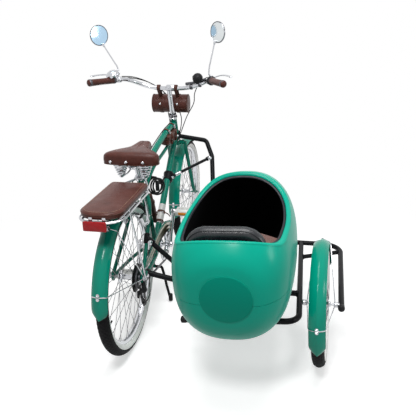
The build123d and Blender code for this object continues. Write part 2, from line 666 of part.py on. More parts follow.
def pod_form(inset):
    """The pod's egg, with every wall moved in by inset."""
    faces = []
    first, last = POD_SECTIONS[0].y, POD_SECTIONS[-1].y
    for s in POD_SECTIONS:
        t = (s.y - first) / (last - first)
        y = s.y + inset * (1 - 2 * t)
        plane = Plane(origin=(POD_X, y, (s.high + s.low) / 2), z_dir=(0, 1, 0), x_dir=(1, 0, 0))
        faces.append(plane * Ellipse(s.half - inset, (s.high - s.low) / 2 - inset))
    return loft(faces)


OPENING_LINE = [(-540, 728), (-412, 704), (-310, 686), (-150, 728), (0, 748), (62, 798), (105, 880)]


def above_opening(drop):
    """Everything above the opening's line, lowered by a distance."""
    line = Spline(*[Vector(y, z - drop) for y, z in OPENING_LINE])
    roof_z = 940
    rear_corner, front_corner = (OPENING_LINE[0][0], roof_z), (OPENING_LINE[-1][0], roof_z)
    sides = [Line(line @ 1, front_corner), Line(front_corner, rear_corner), Line(rear_corner, line @ 0)]
    face = make_face([line] + sides)
    return Pos(POD_X - 300, 0, 0) * extrude(Plane.YZ * face, amount=600)


pod_outer = pod_form(0)
pod_inner = pod_form(POD_WALL)
lip_inner = pod_form(LIP_REACH)
trim_inner = pod_form(TRIM_REACH)
opening = above_opening(0)
lower_half = box(POD_X - 300, POD_X + 300, -600, 700, 0, POD_SPLIT_Z)
pod_shell = pod_outer - pod_inner - opening
lip = ((pod_inner - lip_inner) & above_opening(LIP_DEPTH)) - opening
trim = ((lip_inner - trim_inner) & above_opening(TRIM_DEPTH)) - opening
add("pod_lower", pod_shell & lower_half)
add("pod_upper", (pod_shell - lower_half) + lip)
add("pod_trim", trim)
seat_base = pod_inner & box(POD_X - 300, POD_X + 300, -420, 40, 200, SEAT_BASE_Z)
cushion = fillet(box(POD_X - 150, POD_X + 150, -270, 40, SEAT_BASE_Z, SEAT_BASE_Z + CUSHION_DEPTH).edges(), 16)
add("pod_seat", seat_base, cushion)
back_height = BACKREST_TOP - SEAT_BASE_Z + 30
back_outline = RectangleRounded(BACKREST_WIDTH, back_height, BACKREST_CORNER)
backrest = extrude(Plane.XZ * back_outline, amount=BACKREST_THICKNESS / 2, both=True)
backrest = Pos(BACKREST_X, BACKREST_Y, BACKREST_TOP - back_height / 2) * (Rot(4, 0, 0) * backrest)
add("backrest", (backrest & pod_form(POD_WALL + SEAT_GAP)) - seat_base - lip - trim)
for y in (REAR_CROSS_Y - 28, MID_CROSS_Y):
    cradle = box(POD_X - PAD_HALF, POD_X + PAD_HALF, y - 12, y + 12, SIDE_Z + 4, SIDE_Z + 46)
    add("pod_mounts", cradle - pod_outer - mid_cross - inner_rail)
add("floor_mat", pod_inner & box(POD_X - 300, POD_X + 300, 42, 360, 200, MAT_TOP))

# third wheel's fender

side_fender = fender(SIDE_WHEEL_RADIUS, SIDE_WHEEL_X, SIDE_WHEEL_Y, SIDE_Z, -80, 187)
side_fender += fender_stays(SIDE_WHEEL_RADIUS, SIDE_WHEEL_X, SIDE_WHEEL_Y, SIDE_Z, (82, -30), 58)
add("side_fender", lean_side(side_fender) - side_axle)

# cables

def under_down_tube(length, x):
    """A cable's place under the down tube, measured from the bottom bracket."""
    foot, head_end = Vector(0, BB_Y, BB_Z), Vector(*steer(HEAD_BOTTOM + 22))
    along = (head_end - foot).normalized()
    place = foot + along * length + Vector(0, along.Z, -along.Y) * (DOWN_TUBE_RADIUS + CABLE_RADIUS + 1.5)
    return (x, place.Y, place.Z)


gear_route = [
    under_down_tube(600, 4),
    under_down_tube(390, 6),
    under_down_tube(230, 7),
    under_down_tube(100, 9),
    (13, 476, 282),
    (20, 425, 262),
    (38, 330, 284),
    (52, 250, 296),
    (64, 120, 306),
    (77, 56, 296),
    (92, 14, 250),
    (88, -44, 234),
    (74, -54, 280),
    (66, -6, 292),
]
brake_route = [
    (-14, 856, 833),
    (-15, 760, 827),
    (-15, 640, 810),
    (-15, 520, 789),
    (-16, 430, 766),
    (-24, 345, 728),
    (-36, 268, 692),
    (-45, 196, 662),
]
gear_cable = cable(gear_route)
cable_notch = rod(under_down_tube(470, 5), under_down_tube(340, 6.2), CABLE_RADIUS + 1.5)
add("brace", (rod((34, 745, 572), (214, 872, 646), BRACE_RADIUS) - tall), brace_clamp - cable_notch)
add("cables", gear_cable - derailleur, cable(brake_route) - rear_brake[0])
bar_cable_route = [
    (-236, 772, 1100),
    (-206, 860, 1090),
    (-160, 940, 1060),
    (-96, 1004, 1010),
    (-20, 1024, 930),
    (24, 1016, 850),
    (20, 1010, 786),
    (2, 997, 724),
]
add("bar_cable", cable(bar_cable_route))

# place and write


def solids_of(item):
    """The separate solids of a shape or a list of shapes."""
    return list(item.solids()) if hasattr(item, "solids") else [item]


everything = [s for items in NODES.values() for item in items for s in solids_of(item)]
bounds = Compound(children=everything).bounding_box()
shift = Pos(-(bounds.min.X + bounds.max.X) / 2, -(bounds.min.Y + bounds.max.Y) / 2, -bounds.min.Z)
for name, items in NODES.items():
    solids = [shift * s for item in items for s in solids_of(item)]
    shape = solids[0] if len(solids) == 1 else Compound(children=solids)
    export_step(shape, "parts/" + name + ".step")
print(len(NODES), "nodes; bounds", bounds.min, bounds.max)
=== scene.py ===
"""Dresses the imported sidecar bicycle: finishes, wheels, leather goods, fittings, pod trim and stage.

Lengths are in metres. Places are given in the bicycle's own frame, whose origin is where the rear tyre meets
the floor, +Y forward, +X the sidecar side and +Z up; Bike.at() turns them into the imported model's frame.
"""

from __future__ import annotations

import json
import logging
from dataclasses import dataclass
from enum import Enum
from functools import lru_cache
from math import cos, pi, radians, sin

import bmesh
import bpy
import numpy as np
from mathutils import Matrix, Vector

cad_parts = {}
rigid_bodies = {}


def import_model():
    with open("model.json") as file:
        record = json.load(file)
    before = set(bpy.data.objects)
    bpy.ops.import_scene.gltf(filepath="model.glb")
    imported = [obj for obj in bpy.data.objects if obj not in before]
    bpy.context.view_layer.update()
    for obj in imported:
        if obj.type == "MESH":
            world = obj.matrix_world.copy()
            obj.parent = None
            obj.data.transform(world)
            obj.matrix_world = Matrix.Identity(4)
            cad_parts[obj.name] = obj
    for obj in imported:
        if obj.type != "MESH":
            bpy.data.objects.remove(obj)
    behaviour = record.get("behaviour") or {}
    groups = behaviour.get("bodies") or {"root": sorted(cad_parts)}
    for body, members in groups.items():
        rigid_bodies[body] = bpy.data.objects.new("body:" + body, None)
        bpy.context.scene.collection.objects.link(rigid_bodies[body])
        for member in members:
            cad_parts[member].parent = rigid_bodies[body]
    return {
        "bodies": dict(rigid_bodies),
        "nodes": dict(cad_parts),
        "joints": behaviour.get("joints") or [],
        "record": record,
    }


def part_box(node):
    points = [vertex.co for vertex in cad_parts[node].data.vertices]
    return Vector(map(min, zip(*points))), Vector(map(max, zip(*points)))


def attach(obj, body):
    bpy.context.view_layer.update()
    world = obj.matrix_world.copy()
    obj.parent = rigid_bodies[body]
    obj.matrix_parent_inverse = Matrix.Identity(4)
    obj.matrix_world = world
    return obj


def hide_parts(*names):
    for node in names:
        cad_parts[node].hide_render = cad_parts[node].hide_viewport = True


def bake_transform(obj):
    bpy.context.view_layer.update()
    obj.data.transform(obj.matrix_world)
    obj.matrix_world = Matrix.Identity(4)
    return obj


LOG = logging.getLogger("sidecar_bicycle")
WHEEL_HEIGHT = 0.333
PHOTO_SIDE = 416


class Body(Enum):
    """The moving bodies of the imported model."""

    FRAME = "frame_set"
    FORK = "fork_set"
    FRONT_WHEEL = "front_wheel_set"
    REAR_WHEEL = "rear_wheel_set"
    SIDE_WHEEL = "side_wheel_set"
    CRANK = "crank_set"
    RIGHT_PEDAL = "right_pedal_set"
    LEFT_PEDAL = "left_pedal_set"
    STAND = "stand_set"


class Bike:
    """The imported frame, and places in the bicycle's own frame."""

    def __init__(self) -> None:
        """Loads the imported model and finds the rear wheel's contact point."""
        self.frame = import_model()
        self.nodes = self.frame["nodes"]
        self.joints = {joint["name"]: joint for joint in self.frame["joints"]}
        foot = np.array(self.joints["rear_wheel_spin"]["pos_m"], float)
        self.origin = foot - (0.0, 0.0, WHEEL_HEIGHT)

    def at(self, points: object) -> np.ndarray:
        """Turns points of the bicycle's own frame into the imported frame."""
        return np.asarray(points, float) + self.origin

    def pivot(self, joint: str) -> np.ndarray:
        """A joint's place in the bicycle's own frame."""
        return np.array(self.joints[joint]["pos_m"], float) - self.origin

    def wheel_frame(self, joint: str) -> np.ndarray:
        """A wheel's forward, up and axle directions as rows, from the axis it turns about.

        Args:
            joint: The joint that the wheel turns on.

        Returns:
            Three unit vectors as the rows of an array.
        """
        axle = unit(self.joints[joint]["axis"])
        forward = unit(np.cross((0.0, 0.0, 1.0), axle))
        return np.array((forward, np.cross(axle, forward), axle))

    def box(self, node: str) -> tuple[np.ndarray, np.ndarray]:
        """A node's lowest and highest corners in the bicycle's own frame."""
        low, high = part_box(node)
        return np.array(low) - self.origin, np.array(high) - self.origin

    def steer(self, height: float, aside: float = 0.0, ahead: float = 0.0) -> np.ndarray:
        """A point on the steering axis at a height, moved aside and ahead.

        Args:
            height: Height over the floor.
            aside: How far toward +X.
            ahead: How far toward +Y.

        Returns:
            The point in the bicycle's own frame.
        """
        axis = np.array(self.joints["steering"]["axis"], float)
        foot = self.pivot("steering")
        return foot + axis * (height - foot[2]) / axis[2] + (aside, ahead, 0.0)

    def seat_line(self, length: float) -> np.ndarray:
        """A point on the seat tube's axis, measured from the bottom bracket."""
        lean = radians(24.8)
        return self.pivot("crank_spin") * (0.0, 1.0, 1.0) + (0.0, -length * sin(lean), length * cos(lean))


# Shapes


def unit(vector: object) -> np.ndarray:
    """A vector, or each row of an array of them, scaled to length one."""
    v = np.asarray(vector, float)
    return v / np.maximum(np.linalg.norm(v, axis=-1, keepdims=True), 1e-12)


def square_frame(axis: object) -> np.ndarray:
    """Three square unit vectors as rows, the last of which is the axis.

    Args:
        axis: The third direction, of any length.

    Returns:
        The unit vectors as the rows of an array.
    """
    w = unit(axis)
    helper = np.array((0.0, 0.0, 1.0)) if abs(w[2]) < 0.9 else np.array((0.0, 1.0, 0.0))
    u = unit(np.cross(helper, w))
    return np.array((u, np.cross(w, u), w))


@dataclass
class Shape:
    """Points and faces of a surface, with a finish number for each face.

    Args:
        points: The vertices, one row each.
        faces: Vertex numbers, one list for each face.
        finish: The finish number of each face.
    """

    points: np.ndarray
    faces: list
    finish: list

    def __add__(self, other: Shape) -> Shape:
        """Both surfaces as one."""
        offset = len(self.points)
        faces = self.faces + [[i + offset for i in face] for face in other.faces]
        return Shape(np.vstack((self.points, other.points)), faces, self.finish + other.finish)

    def painted(self, number: int) -> Shape:
        """The same surface with one finish number on every face."""
        return Shape(self.points, self.faces, [number] * len(self.faces))

    def moved(self, offset: object) -> Shape:
        """The same surface, moved by an offset."""
        return Shape(self.points + np.asarray(offset, float), self.faces, self.finish)

    def turned_to(self, frame: np.ndarray, place: object) -> Shape:
        """The surface with its own X, Y and Z laid along a frame's rows, at a place."""
        return Shape(self.points @ frame + np.asarray(place, float), self.faces, self.finish)


def joined(shapes: list) -> Shape:
    """A list of surfaces as one.

    Args:
        shapes: The surfaces, each a Shape.

    Returns:
        One Shape that holds them all.
    """
    sizes = np.cumsum([0] + [len(s.points) for s in shapes])
    faces = [[i + int(start) for i in face] for s, start in zip(shapes, sizes) for face in s.faces]
    return Shape(np.vstack([s.points for s in shapes]), faces, [f for s in shapes for f in s.finish])


def lattice(points: np.ndarray, wrap_rows: bool = False, wrap_columns: bool = False) -> Shape:
    """A surface of quads over a grid of points; face (i, j) joins the points i, i + 1 and j, j + 1.

    Args:
        points: The grid, rows by columns by three.
        wrap_rows: Whether the last row joins the first.
        wrap_columns: Whether the last column joins the first.

    Returns:
        The surface as a Shape.
    """
    rows, columns = points.shape[:2]
    number = np.arange(rows * columns).reshape(rows, columns)
    if wrap_rows:
        number = np.vstack((number, number[:1]))
    if wrap_columns:
        number = np.hstack((number, number[:, :1]))
    quads = np.stack((number[:-1, :-1], number[1:, :-1], number[1:, 1:], number[:-1, 1:]), -1).reshape(-1, 4)
    return Shape(points.reshape(-1, 3), quads.tolist(), [0] * len(quads))


def capped(points: np.ndarray) -> Shape:
    """Rings of points, one ring a row, joined into a skin and closed by a fan at each end.

    Args:
        points: The rings, rows by columns by three.

    Returns:
        The closed surface as a Shape.
    """
    skin = lattice(points, wrap_columns=True)
    rows, columns = points.shape[:2]
    centres = np.array((points[0].mean(0), points[-1].mean(0)))
    first, last = rows * columns, rows * columns + 1
    ring = np.arange(columns)
    end = ring + (rows - 1) * columns
    fans = [[first, int(a), int(b)] for a, b in zip(ring, np.roll(ring, -1))]
    fans += [[last, int(b), int(a)] for a, b in zip(end, np.roll(end, -1))]
    return Shape(np.vstack((skin.points, centres)), skin.faces + fans, skin.finish + [0] * len(fans))


def smooth_path(points: object, count: int) -> np.ndarray:
    """A Catmull-Rom curve through the points: cubic weights blend each span's ends and slopes.

    Args:
        points: The points that the curve passes through.
        count: How many points it returns.

    Returns:
        The curve's points, one row each.
    """
    p = np.asarray(points, float)
    ends = np.vstack((2 * p[0] - p[1], p, 2 * p[-1] - p[-2]))
    t = np.linspace(0, len(p) - 1, count)
    i = np.minimum(t.astype(int), len(p) - 2)
    f = (t - i)[:, None]
    a, b, c, d = ends[i], ends[i + 1], ends[i + 2], ends[i + 3]
    return 0.5 * (2 * b + (c - a) * f + (2 * a - 5 * b + 4 * c - d) * f**2 + (3 * b - a - 3 * c + d) * f**3)


def path_frames(path: np.ndarray) -> tuple[np.ndarray, np.ndarray]:
    """Two unit vectors square to a path at each point, carried along it with as little twist as possible.

    Args:
        path: The path's points.

    Returns:
        The first and the second vector at each point.
    """
    along = unit(np.gradient(path, axis=0))
    side = np.empty_like(path)
    side[0] = square_frame(along[0])[0]
    for i in range(1, len(path)):
        side[i] = unit(side[i - 1] - along[i] * np.dot(side[i - 1], along[i]))
    return side, np.cross(along, side)


def tube(path: object, radius: object, sides: int = 14, flat: float = 1.0, rounded: bool = True) -> Shape:
    """A closed tube: circles of the radius, square to the path, carried along it.

    Args:
        path: The points of its centre line.
        radius: One radius, or one for each point.
        sides: How many sides the circle has.
        flat: How thick the section is across its second direction, as a share of its width.
        rounded: Whether the ends are rounded over.

    Returns:
        The tube as a Shape.
    """
    path = np.asarray(path, float)
    r = np.broadcast_to(np.asarray(radius, float), len(path)).copy()
    if rounded:
        along = unit(np.gradient(path, axis=0))
        lead = np.array((1.0, 0.72, 0.3))
        shrink = np.sqrt(1 - lead**2 * 0.98)
        start = path[0] - along[0] * (lead * r[0] * 0.5)[:, None]
        end = path[-1] + along[-1] * (lead[::-1] * r[-1] * 0.5)[:, None]
        path = np.vstack((start, path, end))
        r = np.concatenate((shrink * r[0], r, shrink[::-1] * r[-1]))
    side, up = path_frames(path)
    a = np.linspace(0, 2 * pi, sides, endpoint=False)
    ring = side[:, None] * np.cos(a)[None, :, None] + flat * up[:, None] * np.sin(a)[None, :, None]
    return capped(path[:, None] + ring * r[:, None, None])


def ring_tube(path: np.ndarray, radius: float, sides: int = 10, flat: float = 1.0) -> Shape:
    """A tube along a closed path, whose last point joins its first.

    The section lies in the directions to the path's middle and square to the path.

    Args:
        path: The closed path's points.
        radius: The section's radius.
        sides: How many sides the section has.
        flat: The section's thickness as a share of its width.

    Returns:
        The tube as a Shape.
    """
    along = unit(np.roll(path, -1, 0) - np.roll(path, 1, 0))
    outward = path - path.mean(0)
    outward = unit(outward - along * (outward * along).sum(1, keepdims=True))
    across = np.cross(along, outward)
    a = np.linspace(0, 2 * pi, sides, endpoint=False)[None, :, None]
    ring = outward[:, None] * np.cos(a) * flat + across[:, None] * np.sin(a)
    return lattice(path[:, None] + ring * radius, True, True)


def turned(profile: object, steps: int = 48, closed: bool = False) -> Shape:
    """A surface of revolution about Z: each (radius, height) of the profile is carried round the axis.

    Args:
        profile: (radius, height) pairs.
        steps: How many places round the axis.
        closed: Whether the profile is a closed loop, which needs no caps.

    Returns:
        The surface as a Shape.
    """
    rz = np.asarray(profile, float)
    a = np.linspace(0, 2 * pi, steps, endpoint=False)
    circle = np.stack((np.cos(a), np.sin(a), np.zeros(steps)), -1)
    points = rz[:, 0, None, None] * circle[None] + rz[:, 1, None, None] * np.array((0.0, 0.0, 1.0))
    return lattice(points, closed, True) if closed else capped(points)


def slab(outline: object, thickness: float, edge: float = 0.0008) -> Shape:
    """A plate: an outline in X and Y, as thick along Z as given, with its edges rounded over.

    The outline moves inward by the edge at the two faces, along the middle of its neighbours' normals.

    Args:
        outline: The closed outline.
        thickness: The thickness along Z.
        edge: The rounding's size.

    Returns:
        The plate as a Shape.
    """
    p = np.asarray(outline, float)
    run = unit(np.roll(p, -1, 0) - np.roll(p, 1, 0))
    inward = np.stack((-run[:, 1], run[:, 0]), -1)
    area = 0.5 * np.sum(p[:, 0] * np.roll(p[:, 1], -1) - np.roll(p[:, 0], -1) * p[:, 1])
    inward *= np.sign(area)
    half = thickness / 2
    levels = [(edge, -half), (0.3 * edge, -half + 0.3 * edge), (0, -half + edge)]
    levels += [(move, -height) for move, height in levels[::-1]]
    rings = [np.column_stack((p + inward * move, np.full(len(p), height))) for move, height in levels]
    return capped(np.array(rings))


def inset_outline(outline: np.ndarray, inset: float) -> np.ndarray:
    """A closed outline in X and Y moved inward along the middle of its neighbours' normals.

    Args:
        outline: The closed outline.
        inset: How far inward.

    Returns:
        The moved outline.
    """
    run = unit(np.roll(outline, -1, 0) - np.roll(outline, 1, 0))
    area = np.sum(outline[:, 0] * np.roll(outline[:, 1], -1) - np.roll(outline[:, 0], -1) * outline[:, 1])
    return outline + np.stack((-run[:, 1], run[:, 0]), -1) * (np.sign(area) * inset)


def rounded_box(width: float, length: float, front: float, rear: float, count: int = 14) -> np.ndarray:
    """An outline in X and Y: a rectangle whose front corners and rear corners have their own radii.

    Args:
        width: The size along X.
        length: The size along Y.
        front: The radius at +Y.
        rear: The radius at -Y.
        count: How many points a corner has.

    Returns:
        The outline's points.
    """
    x, y = width / 2, length / 2
    corners = [arc((x - front, y - front), front, 0, 90, count),
               arc((-x + front, y - front), front, 90, 180, count)]
    corners += [arc((-x + rear, -y + rear), rear, 180, 270, count),
                arc((x - rear, -y + rear), rear, 270, 360, count)]
    return np.vstack(corners)


def pillow(outline: np.ndarray, thickness: float, edge: float, crown: float, belly: float = 0.0) -> Shape:
    """A stuffed slab in X and Y.

    Its sides are half ellipses as deep as the edge, and each face swells by one less the square of the
    distance from its middle.

    Args:
        outline: The closed outline.
        thickness: The thickness at the edge.
        edge: How far the rounding reaches in.
        crown: How much the upper face swells.
        belly: How much the lower face swells.

    Returns:
        The slab as a Shape.
    """
    half = thickness / 2
    inner = inset_outline(outline, edge)
    middle = inner.mean(0)
    shares = np.array((0.04, 0.25, 0.5, 0.7, 0.85, 0.95))
    rings = []
    for share in shares:
        ring = middle + (inner - middle) * share
        rings.append(np.column_stack((ring, np.full(len(ring), -half - belly * (1 - share**2)))))
    for turn in np.radians(np.linspace(-90, 90, 13)):
        ring = inset_outline(outline, edge * (1 - cos(turn)))
        rings.append(np.column_stack((ring, np.full(len(ring), half * sin(turn)))))
    for share in shares[::-1]:
        ring = middle + (inner - middle) * share
        rings.append(np.column_stack((ring, np.full(len(ring), half + crown * (1 - share**2)))))
    return capped(np.array(rings))


def closed_path(points: object, count: int) -> np.ndarray:
    """A closed Catmull-Rom curve through the points, evenly spaced by their order.

    Args:
        points: The points that the curve passes through.
        count: How many points a span has.

    Returns:
        The curve's points, the first not repeated.
    """
    p = np.asarray(points, float)
    wrapped = np.vstack((p[-2:], p, p[:3]))
    whole = smooth_path(wrapped, (len(wrapped) - 1) * count + 1)
    start = 2 * count
    return whole[start:start + len(p) * count]


def belt(first: object, first_radius: float, second: object, second_radius: float,
         count: int = 24) -> np.ndarray:
    """A closed path in a plane round two circles: an arc on each, joined by the outer tangents.

    The tangents leave each circle at the angle whose cosine is the radii's difference over the distance.

    Args:
        first: The first circle's centre.
        first_radius: Its radius.
        second: The other's centre.
        second_radius: Its radius.
        count: How many points an arc has.

    Returns:
        The path's points in the plane.
    """
    a, b = np.asarray(first, float), np.asarray(second, float)
    heading = np.arctan2(*(b - a)[::-1])
    open_angle = np.arccos((first_radius - second_radius) / np.linalg.norm(b - a))
    round_first = np.linspace(heading + open_angle, heading + 2 * pi - open_angle, count)
    round_second = np.linspace(heading - open_angle, heading + open_angle, count)
    arcs = []
    for centre, radius, angles in ((a, first_radius, round_first), (b, second_radius, round_second)):
        arcs.append(centre + radius * np.column_stack((np.cos(angles), np.sin(angles))))
    return np.vstack(arcs)


def in_plane(outline: np.ndarray, x: float) -> np.ndarray:
    """An outline of Y and Z laid in the plane at an X."""
    return np.column_stack((np.full(len(outline), x), outline))


def coil(foot: object, head: object, foot_radius: float, head_radius: float, turns: float,
         wire: float) -> Shape:
    """A wire wound about the line from foot to head, its radius going evenly from one to the other.

    Args:
        foot: Where the line starts.
        head: Where it ends.
        foot_radius: The winding's radius at the foot.
        head_radius: The winding's radius at the head.
        turns: How many turns.
        wire: The wire's own radius.

    Returns:
        The coil as a Shape.
    """
    foot, head = np.asarray(foot, float), np.asarray(head, float)
    u, v, w = square_frame(head - foot)
    t = np.linspace(0, 1, int(turns * 22))[:, None]
    radius = foot_radius + (head_radius - foot_radius) * t
    a = 2 * pi * turns * t
    path = foot + (head - foot) * t + radius * (u * np.cos(a) + v * np.sin(a))
    return tube(path, wire, 8)


def ellipse(width: float, height: float, count: int = 72) -> np.ndarray:
    """An outline in X and Y: the points of an ellipse by its half width and half height."""
    a = np.linspace(0, 2 * pi, count, endpoint=False)
    return np.column_stack((width * np.cos(a), height * np.sin(a)))


def arc(centre: tuple, radius: float, start: float, end: float, count: int = 16) -> np.ndarray:
    """Points on an arc in the plane: the centre plus the radius times cosine and sine, in degrees."""
    a = np.radians(np.linspace(start, end, count))
    return np.column_stack((centre[0] + radius * np.cos(a), centre[1] + radius * np.sin(a)))


def bolt(radius: float, height: float) -> Shape:
    """A hexagon head with a washer under it and a small dome on it, standing on Z = 0.

    Args:
        radius: The hexagon's outer radius.
        height: The head's height.

    Returns:
        The bolt as a Shape.
    """
    washer = turned([(radius * 1.35, 0), (radius * 1.35, height * 0.22), (radius, height * 0.25)], 24)
    head = turned([(radius, height * 0.2), (radius, height * 0.85), (radius * 0.8, height)], 6)
    dome = turned([(radius * 0.5, height * 0.9), (radius * 0.45, height * 1.25),
                   (radius * 0.2, height * 1.5)], 20)
    return joined([washer, head, dome])


def bolt_at(radius: float, height: float, axis: object, place: object) -> Shape:
    """A bolt that stands at a place and points along an axis."""
    return bolt(radius, height).turned_to(square_frame(axis), place)


def stud(radius: float, height: float) -> Shape:
    """A domed rivet: a quarter circle turned about Z.

    Args:
        radius: The dome's radius.
        height: The dome's height.

    Returns:
        The rivet as a Shape.
    """
    a = np.linspace(0, pi / 2, 8)[:-1]
    profile = np.column_stack((radius * np.cos(a), height * np.sin(a)))
    return turned(np.vstack(((radius, -height * 0.4), profile, (radius * 0.05, height))), 28)


def stitches(path: np.ndarray, length: float = 0.0032, gap: float = 0.0016, radius: float = 0.00045) -> Shape:
    """Short thread capsules laid one after another along a path.

    Args:
        path: The seam's points.
        length: A stitch's length.
        gap: The space between two.
        radius: The thread's radius.

    Returns:
        The stitches as one Shape.
    """
    steps = np.linalg.norm(np.diff(path, axis=0), axis=1)
    run = np.concatenate(([0], np.cumsum(steps)))
    starts = np.arange(0, run[-1] - length, length + gap)
    threads = []
    for start in starts:
        at = np.linspace(start, start + length, 4)
        line = np.column_stack([np.interp(at, run, path[:, k]) for k in range(3)])
        threads.append(tube(line, radius, 5))
    return joined(threads)


def strap_round(path: np.ndarray, width: float, thickness: float, across: object) -> Shape:
    """A flat strap along a closed path, its width along one fixed direction.

    The section is a rectangle with its corners eased, thickness outward from the path.

    Args:
        path: The closed path's points.
        width: The strap's width.
        thickness: How far it stands out from the path.
        across: The width's direction.

    Returns:
        The strap as a Shape.
    """
    w = unit(across)
    along = unit(np.roll(path, -1, 0) - np.roll(path, 1, 0))
    out = unit(np.cross(along, w))
    middle = path.mean(0)
    out *= np.sign(np.sum((path - middle) * out))
    ease = min(thickness, width) * 0.3
    section = [(-width / 2 + ease, 0), (width / 2 - ease, 0), (width / 2, ease),
               (width / 2, thickness - ease)]
    section += [(width / 2 - ease, thickness), (-width / 2 + ease, thickness)]
    section += [(-width / 2, thickness - ease), (-width / 2, ease)]
    s = np.array(section)
    points = path[:, None] + s[None, :, 0, None] * w + s[None, :, 1, None] * out[:, None]
    return lattice(points, True, True)


def circle_path(centre: object, axis: object, radius: float, count: int = 40,
                squash: float = 1.0) -> np.ndarray:
    """Points of a circle about an axis, squashed along the second direction where asked.

    Args:
        centre: The circle's middle.
        axis: The direction square to it.
        radius: Its radius.
        count: How many points.
        squash: The second direction's share of the radius.

    Returns:
        The points, one row each.
    """
    u, v, _ = square_frame(axis)
    a = np.linspace(0, 2 * pi, count, endpoint=False)[:, None]
    return np.asarray(centre, float) + radius * (u * np.cos(a) + squash * v * np.sin(a))


# Shader maths


class Value:
    """A number socket of a shader, on which Python's operators work by adding Math nodes."""

    def __init__(self, shader: Shader, socket: bpy.types.NodeSocket) -> None:
        """Wraps a socket of a shader."""
        self.shader = shader
        self.socket = socket

    def _math(self, operation: str, *terms: object) -> Value:
        """A Math node with the operation on the terms."""
        made = self.shader.node("ShaderNodeMath", {"operation": operation}, dict(enumerate(terms)))
        return Value(self.shader, made.outputs[0])

    def __add__(self, other: object) -> Value:
        """The sum."""
        return self._math("ADD", self, other)

    __radd__ = __add__

    def __sub__(self, other: object) -> Value:
        """The difference."""
        return self._math("SUBTRACT", self, other)

    def __rsub__(self, other: object) -> Value:
        """The difference the other way round."""
        return self._math("SUBTRACT", other, self)

    def __mul__(self, other: object) -> Value:
        """The product."""
        return self._math("MULTIPLY", self, other)

    __rmul__ = __mul__

    def __truediv__(self, other: object) -> Value:
        """The quotient."""
        return self._math("DIVIDE", self, other)

    def __pow__(self, other: object) -> Value:
        """The power."""
        return self._math("POWER", self, other)

    def __gt__(self, other: object) -> Value:
        """One where this is greater, else zero."""
        return self._math("GREATER_THAN", self, other)

    def __lt__(self, other: object) -> Value:
        """One where this is less, else zero."""
        return self._math("LESS_THAN", self, other)

    def wave(self) -> Value:
        """The sine."""
        return self._math("SINE", self)

    def size(self) -> Value:
        """The value without its sign."""
        return self._math("ABSOLUTE", self)


class Shader:
    """One material's nodes, made from short calls."""

    def __init__(self, name: str) -> None:
        """Starts an empty material with Object coordinates."""
        self.material = bpy.data.materials.new(name)
        self.material.use_nodes = True
        self.tree = self.material.node_tree
        self.tree.nodes.clear()
        self.place = self.node("ShaderNodeTexCoord").outputs["Object"]

    def node(self, kind: str, settings: dict | None = None, inputs: dict | None = None) -> bpy.types.Node:
        """Adds a node.

        Args:
            kind: The node's type.
            settings: Properties, set first; "stops" gives a ramp's (position, colour) pairs.
            inputs: Values, sockets or Value objects by input name or number.

        Returns:
            The node.
        """
        made = self.tree.nodes.new(kind)
        for key, value in (settings or {}).items():
            if key == "stops":
                self._stops(made.color_ramp, value)
            else:
                setattr(made, key, value)
        for key, value in (inputs or {}).items():
            if isinstance(value, Value):
                value = value.socket
            if isinstance(value, bpy.types.NodeSocket):
                self.tree.links.new(value, made.inputs[key])
            else:
                made.inputs[key].default_value = value
        return made

    @staticmethod
    def _stops(ramp: bpy.types.ColorRamp, stops: list) -> None:
        """Puts (position, colour) pairs on a ramp.

        Args:
            ramp: The ramp of a Color Ramp node.
            stops: The pairs, in order.
        """
        while len(ramp.elements) < len(stops):
            ramp.elements.new(1.0)
        for element, (position, colour) in zip(ramp.elements, stops):
            element.position = position
            element.color = (*colour, 1.0)

    def noise(self, scale: float, detail: float = 3.0, roughness: float = 0.55,
              place: object = None) -> Value:
        """Smooth noise from 0 to 1, so many waves a metre."""
        inputs = {"Vector": place or self.place, "Scale": scale, "Detail": detail, "Roughness": roughness}
        return Value(self, self.node("ShaderNodeTexNoise", {}, inputs).outputs["Fac"])

    def cells(self, scale: float, feature: str = "DISTANCE_TO_EDGE") -> Value:
        """Distance to the edge, or the middle, of cells, so many a metre."""
        made = self.node("ShaderNodeTexVoronoi", {"feature": feature}, {"Vector": self.place, "Scale": scale})
        return Value(self, made.outputs["Distance"])

    def axes(self) -> tuple[Value, Value, Value]:
        """The Object coordinates' X, Y and Z."""
        made = self.node("ShaderNodeSeparateXYZ", {}, {0: self.place})
        return tuple(Value(self, made.outputs[i]) for i in range(3))

    def ramp(self, value: Value, *stops: tuple) -> bpy.types.NodeSocket:
        """A colour from a value by (position, colour) stops."""
        return self.node("ShaderNodeValToRGB", {"stops": list(stops)}, {0: value}).outputs[0]

    def between(self, factor: object, first: object, second: object) -> bpy.types.NodeSocket:
        """A mix of two colours.

        Args:
            factor: How much of the second colour.
            first: The first colour or socket.
            second: The second colour or socket.

        Returns:
            The mixed colour's socket.
        """
        colours = [(*c, 1.0) if isinstance(c, tuple) and len(c) == 3 else c for c in (first, second)]
        made = self.node("ShaderNodeMix", {"data_type": "RGBA"}, {0: factor, 6: colours[0], 7: colours[1]})
        return made.outputs[2]

    def bump(self, height: Value, distance: float, strength: float = 1.0) -> bpy.types.NodeSocket:
        """A normal from a height, in metres at full strength."""
        made = self.node("ShaderNodeBump", {}, {"Height": height, "Distance": distance, "Strength": strength})
        return made.outputs[0]

    def surface(self, **inputs: object) -> bpy.types.Material:
        """Closes the material with a Principled surface; underscores stand for an input's spaces."""
        sockets = {key.replace("_", " "): value for key, value in inputs.items()}
        if isinstance(sockets.get("Base Color"), tuple):
            sockets["Base Color"] = (*sockets["Base Color"][:3], 1.0)
        closing = self.node("ShaderNodeBsdfPrincipled", {}, sockets)
        self.node("ShaderNodeOutputMaterial", {}, {0: closing.outputs[0]})
        return self.material


# Finishes


